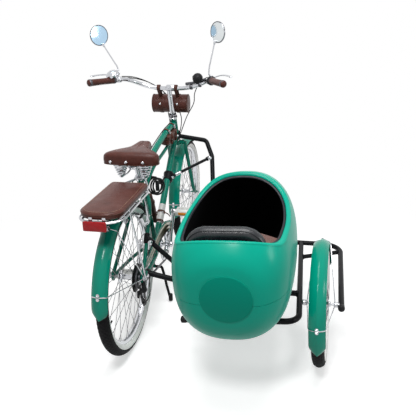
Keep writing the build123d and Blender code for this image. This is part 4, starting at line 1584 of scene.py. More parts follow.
@dataclass
class FrameBags:
    """What is strapped to the frame: the tool bag, the long pouch, the panel and the coiled lock.

    Args:
        bike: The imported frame.
        tube_line: (y, z) of the top tube's middle line, front to rear.
        down_top: (y, z) of the down tube's upper end.
    """

    bike: Bike
    tube_line: tuple = ((0.922, 0.824), (0.780, 0.817), (0.600, 0.791), (0.420, 0.750), (0.265, 0.683))
    down_top: tuple = (0.9494, 0.757)

    def tube_at(self, y: float) -> tuple[np.ndarray, np.ndarray]:
        """The top tube's middle and direction at a Y.

        Args:
            y: The place along +Y.

        Returns:
            The point on the tube's middle line, and its unit direction.
        """
        line = np.array(self.tube_line)[::-1]
        z = np.interp((y - 0.01, y, y + 0.01), line[:, 0], line[:, 1])
        return np.array((0.0, y, z[1])), unit((0.0, 0.02, z[2] - z[0]))

    def down_at(self, share: float) -> tuple[np.ndarray, np.ndarray]:
        """The down tube's middle and direction at a share of its length from the bottom bracket.

        Args:
            share: 0 at the bottom bracket, 1 at the head.

        Returns:
            The point on the tube's middle line, and its unit direction.
        """
        foot = self.bike.pivot("crank_spin") * (0.0, 1.0, 1.0)
        head = np.array((0.0, *self.down_top))
        return foot + (head - foot) * share, unit(head - foot)

    def buckle(self, place: object, face: object, up: object, width: float) -> Shape:
        """A wire frame with a pin, lying on a face.

        Args:
            place: The frame's middle.
            face: The direction out of the face.
            up: The direction along the strap.
            width: The frame's width.

        Returns:
            The buckle as a Shape.
        """
        w = unit(face)
        v = unit(np.asarray(up, float) - w * np.dot(up, w))
        frame = np.array((np.cross(v, w), v, w))
        outline = rounded_box(width * 1.3, width * 1.1, 0.003, 0.003, 5)
        loop = ring_tube(np.column_stack((outline, np.zeros(len(outline)))), 0.0011, 6)
        pin = tube([(0, -width * 0.55, 0.0008), (0, width * 0.55, 0.0012)], 0.0009, 6)
        return joined([loop, pin]).turned_to(frame, np.asarray(place, float))

    def tool_bag(self) -> None:
        """A wedge-shaped bag under the top tube with a flap, two straps round the tube and buckles."""
        outline = closed_path([(0.712, 0.800), (0.780, 0.804), (0.868, 0.806), (0.880, 0.790), (0.872, 0.752),
                               (0.840, 0.741), (0.770, 0.740), (0.712, 0.748), (0.702, 0.772)], 8)
        bag = pillow(outline, 0.046, 0.011, 0.004, 0.004).turned_to(YZX, (0.0, 0.0, 0.0))
        build(self.bike, "tool_bag_body", bag, Body.FRAME, LEATHER, ("tool_bag",), "leather", 80)
        flap = closed_path([(0.708, 0.803), (0.790, 0.8065), (0.872, 0.808), (0.883, 0.790), (0.872, 0.772),
                            (0.790, 0.764), (0.716, 0.770), (0.700, 0.786)], 8)
        cover = pillow(flap, 0.053, 0.006, 0.003, 0.003).turned_to(YZX, (0.0, 0.0, 0.0))
        build(self.bike, "tool_bag_flap", cover, Body.FRAME, STRAP, (), "leather", 80)
        straps, metal = [], []
        for y in (0.852, 0.742):
            middle, along = self.tube_at(y)
            ring = circle_path(middle - (0, 0, 0.004), along, 0.0178, 40, 1.22)
            straps.append(strap_round(ring, 0.016, 0.0028, along))
            metal.append(self.buckle(middle + (0.0205, 0, 0.002), (1, 0, 0.3), (0, 0, 1), 0.016))
        for y in (0.835, 0.750):
            line = [(0.0265, y, 0.800), (0.0305, y, 0.785), (0.0305, y, 0.765), (0.0275, y, 0.750)]
            straps.append(tube(smooth_path(line, 14), 0.0065, 12, flat=0.28))
            metal.append(self.buckle((0.0325, y, 0.770), (1, 0, 0), (0, 0, 1), 0.012))
        build(self.bike, "tool_bag_straps", joined(straps), Body.FRAME, STRAP, (), "leather")
        build(self.bike, "tool_bag_buckles", joined(metal), Body.FRAME, CHROME, (), "chrome")

    def long_pouch(self) -> None:
        """The long pouch along the seat tube, with a cap and a strap."""
        foot, head = np.array((0.017, 0.394, 0.438)), np.array((0.017, 0.322, 0.598))
        along = unit(head - foot)
        length = np.linalg.norm(head - foot)
        run = np.linspace(0, 1, 26)[:, None]
        bow = np.array((0.004, 0.004, 0.0)) * np.sin(pi * run)
        body = tube(foot + (head - foot) * run + bow, 0.0135 - 0.004 * (1 - run[:, 0]) ** 2, 20)
        cap = tube([head - along * 0.040, head - along * 0.012, head + along * 0.002], 0.0148, 20)
        shape = joined([body, cap.painted(1)])
        build(self.bike, "pouch_body", shape, Body.FRAME, [LEATHER, STRAP], ("seat_pouch",), "leather", 60)
        straps = []
        for share in (0.30, 0.76):
            middle = foot + along * length * share + np.array((0.003, 0.003, 0.0))
            straps.append(strap_round(circle_path(middle, along, 0.0142, 30), 0.012, 0.0020, along))
        build(self.bike, "pouch_straps", joined(straps), Body.FRAME, STRAP, (), "leather")

    def panel(self) -> None:
        """The blank white sleeve round the down tube, with its two straps."""
        foot, along = self.down_at(0.165)
        head, _ = self.down_at(0.325)
        sleeve = tube([foot, head], 0.0185, 36, rounded=False)
        build(self.bike, "down_tube_panel", sleeve, Body.FRAME, WHITE)
        straps, metal = [], []
        for share in (0.262, 0.182):
            middle, _ = self.down_at(share)
            straps.append(strap_round(circle_path(middle, along, 0.0188, 36), 0.013, 0.0026, along))
            end = [middle + (0.016, -0.010, 0.002), middle + (0.026, -0.014, 0.004),
                   middle + (0.040, -0.012, -0.004), middle + (0.050, -0.008, -0.018)]
            straps.append(tube(smooth_path(end, 16), 0.0060, 12, flat=0.24))
            metal.append(self.buckle(middle + (0.014, -0.016, 0.0), (0.7, -0.7, 0), along, 0.014))
        build(self.bike, "panel_straps", joined(straps), Body.FRAME, STRAP, (), "leather")
        build(self.bike, "panel_buckles", joined(metal), Body.FRAME, CHROME, (), "chrome")

    def lock(self) -> None:
        """The coiled lock: loops of coated cable beside the mid tube, with its barrel and bracket."""
        middle = np.array((0.032, 0.402, 0.622))
        axis = unit((0.80, -0.55, 0.12))
        u, v, _ = square_frame(axis)
        t = np.linspace(0, 1, 130)[:, None]
        turns = 2 * pi * 3.6 * t
        radius = 0.037 + 0.004 * np.sin(2 * pi * 1.7 * t)
        loops = middle + axis * (0.034 * (t - 0.5)) + radius * (u * np.cos(turns) + v * np.sin(turns))
        parts = [tube(loops, 0.0042, 10)]
        top = np.array((0.006, 0.400, 0.668))
        parts.append(tube([top, middle + (0.0, 0.0, 0.042)], 0.0062, 12))
        parts.append(tube([middle + (0.010, -0.02, 0.030), middle + (0.012, -0.026, -0.012)], 0.0095, 16))
        build(self.bike, "lock_coils", joined(parts), Body.FRAME, PLASTIC, ("cable_lock",), "plastic")

    def make(self) -> None:
        """Builds the strapped pieces."""
        self.tool_bag()
        self.long_pouch()
        self.panel()
        self.lock()


# Front end


@dataclass
class Cockpit:
    """The handlebar's fittings: grips, shifter, levers, bell, bulb, mirrors, the round bag and the cables.

    Args:
        bike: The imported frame.
        height: The handlebar's height at the stem.
        ahead: How far it lies ahead of the steering axis.
        line: (out, back, up) of the handlebar's line on one side.
        bag: Left end, right end, height, distance ahead and radius of the round bag.
    """

    bike: Bike
    height: float = 1.028
    ahead: float = 0.040
    line: tuple = ((0, 0, 0), (0.095, 0, 0.002), (0.152, 0.008, 0.016), (0.200, 0.034, 0.038),
                   (0.232, 0.086, 0.054), (0.256, 0.172, 0.060), (0.294, 0.244, 0.062), (0.333, 0.305, 0.062))
    bag: tuple = (-0.115, 0.080, 0.935, 0.066, 0.050)

    def on_bar(self, side: int, point: object, lift: float = 0.0) -> np.ndarray:
        """A place by its distance out, back and up from the handlebar's middle, on one side.

        Args:
            side: 1 for the right side, -1 for the left.
            point: The distances out, back and up.
            lift: How far it is raised besides.

        Returns:
            The place in the bicycle's own frame.
        """
        out, back, up = point
        y = self.bike.steer(self.height - 0.006)[1] + self.ahead
        return np.array((side * out, y - back, self.height + up + lift))

    def bar_path(self, side: int, first: int, last: int, count: int = 30) -> np.ndarray:
        """The handlebar's line between two of its points.

        Args:
            side: 1 for the right side, -1 for the left.
            first: The first point's number.
            last: The last point's number.
            count: How many points it returns.

        Returns:
            The line's points, one row each.
        """
        points = [self.on_bar(side, p) for p in self.line]
        whole = smooth_path(points, 25 * (len(points) - 1) + 1)
        return whole[25 * first:25 * last + 1][:: max(1, 25 * (last - first) // count)]

    def grips(self) -> None:
        """Stitched leather grips with collars, and the twist shifter inside the right one."""
        for side, name in ((-1, "left"), (1, "right")):
            path = smooth_path([self.on_bar(side, p)
                                for p in (self.line[5], self.line[6], (0.338, 0.313, 0.062))], 30)
            along = unit(np.gradient(path, axis=0))
            shape = tube(path, 0.0162 + 0.0007 * np.cos(np.linspace(0, 2 * pi, 30)), 24)
            node = ("grips",) if side < 0 else ()
            build(self.bike, name + "_grip", shape, Body.FORK, LEATHER, node, "leather", 60)
            under = path + np.cross(along, (0, 0, 1.0)) * 0.0005 - (0, 0, 0.0166)
            over = path + np.cross((0, 0, 1.0), along) * side * 0.0166
            threads = [stitches(under, 0.004, 0.002, 0.0006), stitches(over, 0.004, 0.002, 0.0006)]
            build(self.bike, name + "_grip_thread", joined(threads), Body.FORK, THREAD)
            collars = [tube([path[k] - along[k] * 0.004, path[k] + along[k] * 0.004], 0.0178, 24)
                       for k in (1, -2)]
            build(self.bike, name + "_grip_collars", joined(collars), Body.FORK, DARK_STEEL, (), "steel")
        inner = self.bar_path(1, 4, 5)
        housing = tube(inner[len(inner) // 2:], np.linspace(0.0175, 0.0205, len(inner) - len(inner) // 2), 24)
        drum = tube([inner[-4], inner[-1]], 0.0235, 28)
        build(self.bike, "twist_shifter", joined([housing, drum]), Body.FORK, PLASTIC, (), "plastic")

    def levers(self) -> None:
        """Brake levers: blades that widen toward their ends, with clamps and pivots."""
        parts = []
        for side in (-1, 1):
            line = [(0.250, 0.118, 0.058), (0.272, 0.120, 0.074), (0.308, 0.142, 0.084),
                    (0.342, 0.186, 0.086), (0.362, 0.222, 0.084)]
            path = smooth_path([self.on_bar(side, p) for p in line], 34)
            width = np.interp(np.linspace(0, 1, 34), (0, 0.15, 0.85, 0.95, 1),
                              (0.008, 0.0062, 0.0066, 0.0082, 0.007))
            parts.append(tube(path, width, 16, flat=0.5))
            clamp = self.bar_path(side, 4, 5)
            k = int(len(clamp) * 0.45)
            parts.append(tube([clamp[k], clamp[k + 5]], 0.0162, 28))
            body = [clamp[k + 2], self.on_bar(side, (0.254, 0.112, 0.058)),
                    self.on_bar(side, (0.244, 0.096, 0.054))]
            parts.append(tube(smooth_path(body, 12), 0.0085, 16))
            barrel = self.on_bar(side, (0.242, 0.094, 0.053))
            parts.append(tube([barrel, barrel + (-side * 0.006, 0.022, 0.0)], 0.0052, 12))
            pivot = self.on_bar(side, (0.256, 0.114, 0.058))
            parts.append(tube([pivot - (0, 0, 0.010), pivot + (0, 0, 0.012)], 0.0055, 14))
        build(self.bike, "brake_levers", joined(parts), Body.FORK, CHROME, ("levers",), "chrome", 50)

    def bell(self) -> None:
        """The bell: a domed cup over a base, with its thumb lever and post."""
        foot = self.on_bar(-1, (0.256, 0.186, 0.060), 0.021)
        post = self.on_bar(-1, (0.254, 0.161, 0.060))
        a = np.linspace(0.05, pi / 2, 14)[::-1]
        dome = [(0.0315, 0.008), (0.0340, 0.0085), (0.0345, 0.011)]
        dome += [(0.0340 * sin(t), 0.012 + 0.0185 * cos(t)) for t in a]
        base = [(0.010, -0.002), (0.027, 0.0), (0.0310, 0.003), (0.0310, 0.0075), (0.022, 0.008)]
        cap = [(0.0052, 0.029), (0.0050, 0.0325), (0.0035, 0.0345), (0.001, 0.0350)]
        shape = joined([turned(dome, 56), turned(base, 48), turned(cap, 24)])
        frame = square_frame((-0.25, -0.35, 1.0))
        run = smooth_path([(0.020, -0.010, 0.004), (0.034, -0.014, 0.006), (0.044, -0.010, 0.012)], 12)
        thumb = tube(run, 0.0045, 12, flat=0.45)
        whole = joined([joined([shape, thumb]).turned_to(frame, foot),
                        tube([post, foot + (0, 0, 0.004)], 0.0055, 14)])
        clamp = self.bar_path(-1, 4, 5)
        whole = joined([whole, tube([clamp[-6], clamp[-2]], 0.0150, 26)])
        build(self.bike, "bell_dome", whole, Body.FORK, CHROME, ("bell",), "chrome", 44)

    def bulb(self) -> None:
        """The rubber bulb, its neck and the short horn tube on the handlebar."""
        foot = self.on_bar(1, self.line[2])
        heart = foot + (0, 0, 0.036)
        t = np.linspace(0, 1, 26)
        radius = np.where(t < 0.68, 0.0285 * np.sqrt(np.clip(1 - ((t - 0.36) / 0.37) ** 2, 0.003, 1)), 0.0)
        radius = np.maximum(radius, 0.0072)
        lean = unit((0.88, -0.18, -0.30))
        path = heart + lean * ((t - 0.36) * 0.076)[:, None]
        build(self.bike, "bulb_ball", tube(path, radius, 28), Body.FORK, PLASTIC, ("dome",), "plastic", 60)
        end = path[-1]
        run = [end - lean * 0.004, end + (0.010, -0.004, -0.006),
               self.on_bar(1, (0.196, 0.030, 0.036), 0.016)]
        metal = [tube(smooth_path(run, 14), 0.0062, 14)]
        horn = smooth_path([self.on_bar(1, p, 0.017) for p in ((0.190, 0.02, 0.032), (0.140, 0.002, 0.014),
                                                              (0.085, -0.004, 0.004))], 20)
        metal.append(tube(horn, np.linspace(0.0055, 0.0080, 20), 16))
        for p in ((0.165, 0.012, 0.021), (0.115, 0.002, 0.006)):
            place = self.on_bar(1, p)
            metal.append(tube([place - (0.004, 0, 0), place + (0.004, 0, 0)], 0.0145, 24))
        build(self.bike, "bulb_horn", joined(metal), Body.FORK, DARK_STEEL, (), "steel")

    def mirrors(self) -> None:
        """Two round mirrors on thin bent rods: glass tinted with a painted reflection, rim and shallow back.
        """
        rods = []
        # Each glass carries its own painted reflection: sky blue on the left, pale bluish grey on the right.
        for side, x, y, z, turn, finish in ((-1, 0.325, 0.720, 1.309, 50, SKY_REFLECTION_GLASS),
                                            (1, 0.290, 0.720, 1.319, 38, PALE_REFLECTION_GLASS)):
            facing = np.array((-side * sin(radians(turn)), -cos(radians(turn)), 0.0))
            centre = np.array((side * x, y, z))
            frame = square_frame(facing)
            glass = turned([(0.0465, -0.002), (0.0465, 0.0045), (0.025, 0.0052), (0.001, 0.0055)], 64)
            name = "left_mirror" if side < 0 else "right_mirror"
            build(self.bike, name + "_glass", glass.turned_to(frame, centre), Body.FORK,
                  finish, (), "chrome", 30)
            back = [(0.0472, 0.0040), (0.0490, 0.0066), (0.0508, 0.0050), (0.0508, -0.0005), (0.046, -0.0045)]
            back += [(0.033, -0.0068), (0.010, -0.0078), (0.010, -0.0065), (0.044, -0.0030), (0.0470, 0.0)]
            rim = turned(back, 72, closed=True).turned_to(frame, centre)
            elbow = np.array((side * 0.238, 0.738, 1.140))
            foot = self.on_bar(side, (0.250, 0.140, 0.058), 0.012)
            end = np.array((side * (x - 0.018), y + 0.004, z - 0.047))
            run = np.vstack((np.linspace(foot, elbow - (0, 0, 0.02), 4),
                             np.linspace(elbow + 0.10 * (end - elbow), end, 6)))
            rods += [tube(smooth_path(run, 44), np.linspace(0.0042, 0.0034, 44), 12)]
            rods.append(tube([foot - (0, 0, 0.014), foot + (0, 0, 0.010)], 0.0070, 16))
            rods.append(tube([end - unit(end - elbow) * 0.008, end + unit(end - elbow) * 0.006], 0.0062, 16))
            build(self.bike, name + "_rim", rim, Body.FORK, DARK_CHROME, (), "chrome", 50)
        build(self.bike, "mirror_rods", joined(rods), Body.FORK, CHROME, ("mirrors",), "chrome")

    def round_bag(self) -> None:
        """The cylinder bag: body with seams, sewn end discs, flap edge, two straps and snap studs."""
        left, right, z, ahead, radius = self.bag
        y = self.bike.steer(z)[1] + ahead
        length = right - left
        t = np.linspace(-1, 1, 49)
        swell = radius * (1 - 0.012 * np.cos(pi * t) - 0.03 * np.abs(t) ** 14)
        profile = [(radius * 0.10, -length / 2 - 0.003), (radius * 0.86, -length / 2 - 0.003)]
        profile += [(r, s * length / 2) for r, s in zip(swell, t)]
        profile += [(radius * 0.86, length / 2 + 0.003), (radius * 0.10, length / 2 + 0.003)]
        centre = np.array(((left + right) / 2, y, z))
        body = turned(profile, 64).turned_to(YZX, centre)
        build(self.bike, "round_bag_body", body, Body.FORK, LEATHER, ("bar_bag",), "leather", 60)
        seams = []
        for side in (-1, 1):
            end = circle_path(centre + (side * length / 2, 0, 0), (1, 0, 0), radius * 0.985, 56)
            seams.append(ring_tube(end, 0.0026, 8))
        a = np.radians(np.linspace(205, 60, 26))
        flap = np.column_stack((np.zeros(26), radius * 1.012 * np.cos(a), radius * 1.012 * np.sin(a)))
        edge = flap[0]
        for side in (-1, 1):
            run = np.linspace(centre + edge - (length * 0.47, 0, 0),
                              centre + edge + (length * 0.47, 0, 0), 20)
            seams.append(tube(run, 0.0016, 8))
        bar_y = self.on_bar(1, (0, 0, 0))[1]
        straps, studs = [], []
        for x in (-0.068, 0.028):
            straps.append(strap_round(in_plane(arc((y, z), radius * 1.005, 0, 360, 61)[:-1], x),
                                      0.017, 0.0026, (1, 0, 0)))
            loop = belt((bar_y, self.height), 0.0145, (y - 0.022, z + 0.040), 0.0060)
            straps.append(strap_round(in_plane(loop, x), 0.017, 0.0026, (1, 0, 0)))
            place = centre + (x - centre[0], -radius * 1.055, 0.004)
            studs.append(stud(0.0062, 0.003).turned_to(square_frame((0, -1, 0)), place))
        build(self.bike, "round_bag_seams", joined(seams), Body.FORK, STRAP, (), "leather")
        build(self.bike, "round_bag_straps", joined(straps), Body.FORK, STRAP, (), "leather")
        build(self.bike, "round_bag_studs", joined(studs), Body.FORK, CHROME, (), "chrome")

    def headset(self) -> None:
        """The chrome cups on the head tube and the bolts of the stem."""
        axis = unit(self.bike.steer(0.9) - self.bike.steer(0.8))
        cups = []
        for z, rise in ((0.860, 1), (0.735, -1)):
            profile = [(0.0206, -0.004), (0.0206, 0.001), (0.0238, 0.004), (0.0238, 0.0085), (0.0215, 0.0105)]
            cups.append(turned(profile, 40).turned_to(square_frame(axis * rise), self.bike.steer(z)))
        build(self.bike, "headset_cups", joined(cups), Body.FRAME, CHROME, (), "chrome")
        nut = turned([(0.0216, 0), (0.0216, 0.010), (0.0195, 0.0125)],
                     8).turned_to(square_frame(axis), self.bike.steer(0.8725))
        spacer = turned([(0.0208, 0.0), (0.0208, 0.004)], 32).turned_to(square_frame(axis),
                                                                        self.bike.steer(0.8695))
        build(self.bike, "headset_nut", joined([nut, spacer]), Body.FORK, DARK_STEEL, (), "steel")
        clamp = self.on_bar(1, (0, 0, 0))
        quill = tube([self.bike.steer(0.886), self.bike.steer(0.990)], 0.0137, 32)
        heads = [bolt_at(0.0060, 0.005, axis, self.bike.steer(1.034)),
                 bolt_at(0.0060, 0.005, (0, -0.7, -0.7), clamp + (0, -0.012, -0.014))]
        collar = tube([clamp - (0.020, 0, 0), clamp + (0.020, 0, 0)], 0.0172, 32)
        build(self.bike, "stem_bolts", joined([*heads, collar, quill]), Body.FORK, CHROME, (), "chrome")

    def loops(self) -> None:
        """The two cables that cross from the handlebar to the frame."""
        top = np.array((-0.014, 0.856, 0.833))
        brake = [self.on_bar(-1, (0.236, 0.074, 0.053)), (-0.215, 0.850, 1.084), (-0.140, 0.930, 1.052),
                 (-0.072, 0.992, 0.990), (-0.060, 1.004, 0.930), (-0.040, 0.960, 0.872),
                 (-0.018, 0.900, 0.838), top]
        gear = [self.on_bar(1, (0.238, 0.084, 0.054)), (0.205, 0.860, 1.086), (0.150, 0.940, 1.050),
                (0.108, 1.000, 0.985), (0.098, 1.008, 0.925), (0.060, 0.984, 0.850), (0.030, 0.940, 0.760),
                (0.008, 0.912, 0.700), (0.004, 0.8976, 0.6828)]
        for name, route in (("brake_loop", brake), ("gear_loop", gear)):
            path = smooth_path(route, 90)
            piece = build(self.bike, name, tube(path, 0.0025, 10), None, PLASTIC)
            self.bike.at(route[-1]).tolist()
            self.bike.at(route[3]).tolist()
            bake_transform(piece)

    def make(self) -> None:
        """Builds the handlebar's fittings."""
        self.grips()
        self.levers()
        self.bell()
        self.bulb()
        self.mirrors()
        self.round_bag()
        self.headset()
        self.loops()


# Drive


def ring_plate(outer: np.ndarray, inner: np.ndarray, thickness: float) -> Shape:
    """A flat ring between two outlines with as many points, as thick along Z as given.

    Args:
        outer: The outer outline.
        inner: The inner outline.
        thickness: The size along Z.

    Returns:
        The ring as a Shape.
    """
    half = thickness / 2
    levels = ((outer, -half), (outer, half), (inner, half), (inner, -half))
    loops = [np.column_stack((line, np.full(len(line), z))) for line, z in levels]
    return lattice(np.array(loops), True, True)


def toothed(radius: float, teeth: int, depth: float) -> np.ndarray:
    """An outline with teeth: the radius plus a clipped cosine of the angle times the number of teeth.

    Args:
        radius: The middle radius.
        teeth: How many teeth.
        depth: How far they stand out.

    Returns:
        The outline's points.
    """
    a = np.linspace(0, 2 * pi, teeth * 8, endpoint=False)
    r = radius + depth * np.clip(np.cos(a * teeth) * 1.3, -0.8, 0.9)
    return np.column_stack((r * np.cos(a), r * np.sin(a)))


@dataclass
class Drive:
    """Chainring, cranks, chain, cogs, rear derailleur, pedals and the chain guard's stripes.

    Args:
        bike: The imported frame.
        chain_x: The chain's plane.
        ring: The chainring's radius.
        cog: The largest cog's radius.
        crank: The crank's length.
        lean: How far the cranks lean forward, in degrees.
        pitch: The chain's pitch.
    """

    bike: Bike
    chain_x: float = 0.050
    ring: float = 0.084
    cog: float = 0.040
    crank: float = 0.170
    lean: float = 20.0
    pitch: float = 0.0127

    def chain(self) -> None:
        """Links laid one after another on the belt round chainring and cog, wide and narrow by turns."""
        spindle, hub = self.bike.pivot("crank_spin"), self.bike.pivot("rear_wheel_spin")
        loop = belt(hub[1:], self.cog + 0.004, spindle[1:], self.ring + 0.004, 90)
        loop = np.vstack((loop, loop[:1]))
        run = np.concatenate(([0], np.cumsum(np.linalg.norm(np.diff(loop, axis=0), axis=1))))
        count = int(run[-1] / self.pitch / 2) * 2
        at = np.linspace(0, run[-1], count + 1)
        pins = np.column_stack([np.interp(at, run, loop[:, k]) for k in (0, 1)])
        ends = np.vstack((arc((self.pitch / 2, 0), 0.0042, -80, 80, 5),
                          arc((-self.pitch / 2, 0), 0.0042, 100, 260, 5)))
        links = []
        for i in range(count):
            way = unit(pins[i + 1] - pins[i])
            frame = np.array(((0.0, *way), (0.0, -way[1], way[0]), (1.0, 0.0, 0.0)))
            middle = (self.chain_x, *((pins[i] + pins[i + 1]) / 2))
            wide = 0.0078 if i % 2 else 0.0054
            rings = np.array([np.column_stack((ends, np.full(len(ends), z))) for z in (-wide / 2, wide / 2)])
            links.append(capped(rings).turned_to(frame, middle))
        build(self.bike, "chain_links", joined(links), Body.FRAME, DARK_STEEL, ("chain",), "steel")

    def chainset(self) -> None:
        """The toothed ring on a five-armed spider, tapered cranks, spindle and pedal axles."""
        spindle = self.bike.pivot("crank_spin") * (0.0, 1.0, 1.0)
        teeth = toothed(self.ring, 42, 0.0030)
        plate = ring_plate(teeth, unit(teeth) * (self.ring - 0.014), 0.0036)
        parts = [plate.turned_to(YZX, spindle + (self.chain_x, 0, 0))]
        for k in range(5):
            a = radians(72 * k + 20)
            end = spindle + (self.chain_x, (self.ring - 0.012) * cos(a), (self.ring - 0.012) * sin(a))
            start = spindle + (self.chain_x + 0.010, 0.012 * cos(a), 0.012 * sin(a))
            parts.append(tube([start, end], np.array((0.0095, 0.0070)), 14, flat=0.6))
            parts.append(bolt_at(0.0042, 0.003, (1, 0, 0), end + (0.003, 0, 0)))
        parts.append(tube([spindle - (0.084, 0, 0), spindle + (0.084, 0, 0)], 0.009, 20))
        for side in (-1, 1):
            lean = radians(self.lean)
            arm = side * self.crank * np.array((0.0, sin(lean), cos(lean)))
            start, end = spindle + (side * 0.078, 0, 0), spindle + arm + (side * 0.088, 0, 0)
            t = np.linspace(0, 1, 14)
            parts.append(tube(start + (end - start) * t[:, None],
                              0.0125 - 0.0045 * np.sin(pi * t) ** 0.7, 18, flat=0.8))
            parts.append(tube([start - (side * 0.010, 0, 0), start + (side * 0.010, 0, 0)], 0.0155, 26))
            parts.append(tube([end - (side * 0.008, 0, 0), end + (side * 0.009, 0, 0)], 0.0125, 24))
            parts.append(tube([end, end + (side * 0.115, 0, 0)], 0.0044, 12))
            parts.append(stud(0.009, 0.003).turned_to(square_frame((side, 0, 0)),
                                                      start + (side * 0.011, 0, 0)))
        build(self.bike, "cranks", joined(parts), Body.CRANK, CHROME, ("crankset",), "chrome", 40)

    def cogs(self) -> None:
        """Seven cogs, the lock ring and the black disc that guards the spokes."""
        hub = self.bike.pivot("rear_wheel_spin")
        parts = []
        for k in range(7):
            radius = self.cog - 0.0025 * k
            teeth = toothed(radius, 28 - 2 * k, 0.0022)
            plate = ring_plate(teeth, unit(teeth) * (radius - 0.010), 0.0010)
            parts.append(plate.turned_to(YZX, hub + (0.0428 + 0.0015 * k, 0, 0)))
        parts.append(tube([hub + (0.0415, 0, 0), hub + (0.0535, 0, 0)], 0.0175, 32))
        build(self.bike, "cogs", joined(parts), Body.REAR_WHEEL, DARK_STEEL, ("cassette",), "steel", 30)
        guard = turned([(0.020, -0.0008), (0.062, -0.0026), (0.0635, -0.0016),
                        (0.062, -0.0006), (0.020, 0.0010)], 72, True)
        build(self.bike, "spoke_guard", guard.turned_to(YZX, hub + (0.0400, 0, 0)), Body.REAR_WHEEL, PLASTIC)

    def derailleur(self) -> None:
        """The rear derailleur: hanger, body, cage plates, two toothed pulleys and the adjusting barrel."""
        top, low = np.array((0.064, -0.004, 0.276)), np.array((0.060, 0.014, 0.205))
        parts = [tube([(0.069, 0.0, 0.314), (0.070, -0.006, 0.296)], 0.0085, 16)]
        parts.append(tube(smooth_path([(0.071, -0.006, 0.300), (0.080, -0.012, 0.284),
                                       (0.072, -0.006, 0.268)], 12),
                          0.0085, 16, flat=0.75))
        for x in (-0.0075, 0.0075):
            outline = belt(top[1:], 0.0105, low[1:], 0.0115, 14)
            plate = slab(outline, 0.0018, 0.0004)
            parts.append(plate.turned_to(YZX, (0.062 + x, 0.0, 0.0)))
        for place, radius in ((top, 0.0125), (low, 0.0150)):
            teeth = toothed(radius, 11, 0.0022)
            wheel = ring_plate(teeth, unit(teeth) * 0.004, 0.0038)
            parts.append(wheel.turned_to(YZX, (0.062, place[1], place[2])))
            parts.append(bolt_at(0.004, 0.0026, (1, 0, 0), (0.0705, place[1], place[2])))
        parts.append(tube([(0.070, -0.012, 0.290), (0.071, -0.030, 0.286)], 0.0042, 12))
        build(self.bike, "derailleur_cage", joined(parts), Body.FRAME, PLASTIC,
              ("derailleur",), "plastic", 40)

    def guard_stripes(self) -> None:
        """Two cream bands along the chain guard's outer face."""
        upper = np.array([(0.090, 0.373), (0.160, 0.386), (0.300, 0.417), (0.415, 0.419), (0.500, 0.394)])
        lower = np.array([(0.500, 0.382), (0.415, 0.407), (0.300, 0.405), (0.160, 0.376), (0.090, 0.365)])
        parts = []
        for drop in (0.0, 0.020):
            outline = np.vstack((smooth_path(upper, 30), smooth_path(lower, 30))) - (0.0, drop)
            parts.append(slab(outline, 0.0008, 0.0002).turned_to(YZX, (0.0632, 0.0, 0.0)))
        build(self.bike, "guard_stripes", joined(parts), Body.FRAME, CREAM)

    def pedals(self) -> None:
        """Each pedal: a barrel, two treads with amber reflectors and end plates."""
        for side, body, name in ((1, Body.RIGHT_PEDAL, "right_pedal"), (-1, Body.LEFT_PEDAL, "left_pedal")):
            node = "pedal_right" if side > 0 else "pedal_left"
            low, high = self.bike.box(node)
            middle, size = (low + high) / 2, high - low
            parts = [tube([middle - (size[0] / 2, 0, 0), middle + (size[0] / 2, 0, 0)], 0.0105, 24)]
            lenses = []
            flat = np.array(((1.0, 0.0, 0.0), (0.0, 1.0, 0.0), (0.0, 0.0, 1.0)))
            upright = np.array(((1.0, 0.0, 0.0), (0.0, 0.0, 1.0), (0.0, -1.0, 0.0)))
            for edge in (-1, 1):
                bar = slab(rounded_box(size[0], 0.013, 0.003, 0.003, 4), size[2] * 0.92, 0.0015)
                parts.append(bar.turned_to(flat, middle + (0, edge * (size[1] / 2 - 0.0065), 0)))
                lens = slab(rounded_box(size[0] * 0.62, size[2] * 0.5, 0.002, 0.002, 4), 0.0016, 0.0004)
                lenses.append(lens.turned_to(upright, middle + (0, edge * (size[1] / 2 + 0.0004), 0)))
                rib = slab(rounded_box(0.006, size[1] - 0.004, 0.002, 0.002, 4), size[2] * 0.8, 0.001)
                parts.append(rib.turned_to(flat, middle + (edge * (size[0] / 2 - 0.003), 0, 0)))
            for x in np.linspace(-0.3, 0.3, 4) * size[0]:
                rib = slab(rounded_box(0.004, size[1] - 0.020, 0.001, 0.001, 4), size[2] * 0.45, 0.0008)
                parts.append(rib.turned_to(flat, middle + (x, 0, 0)))
            build(self.bike, name + "_body", joined(parts), body, WHITE, (node,), "pedal", 40)
            build(self.bike, name + "_lens", joined(lenses), body, AMBER_LENS)

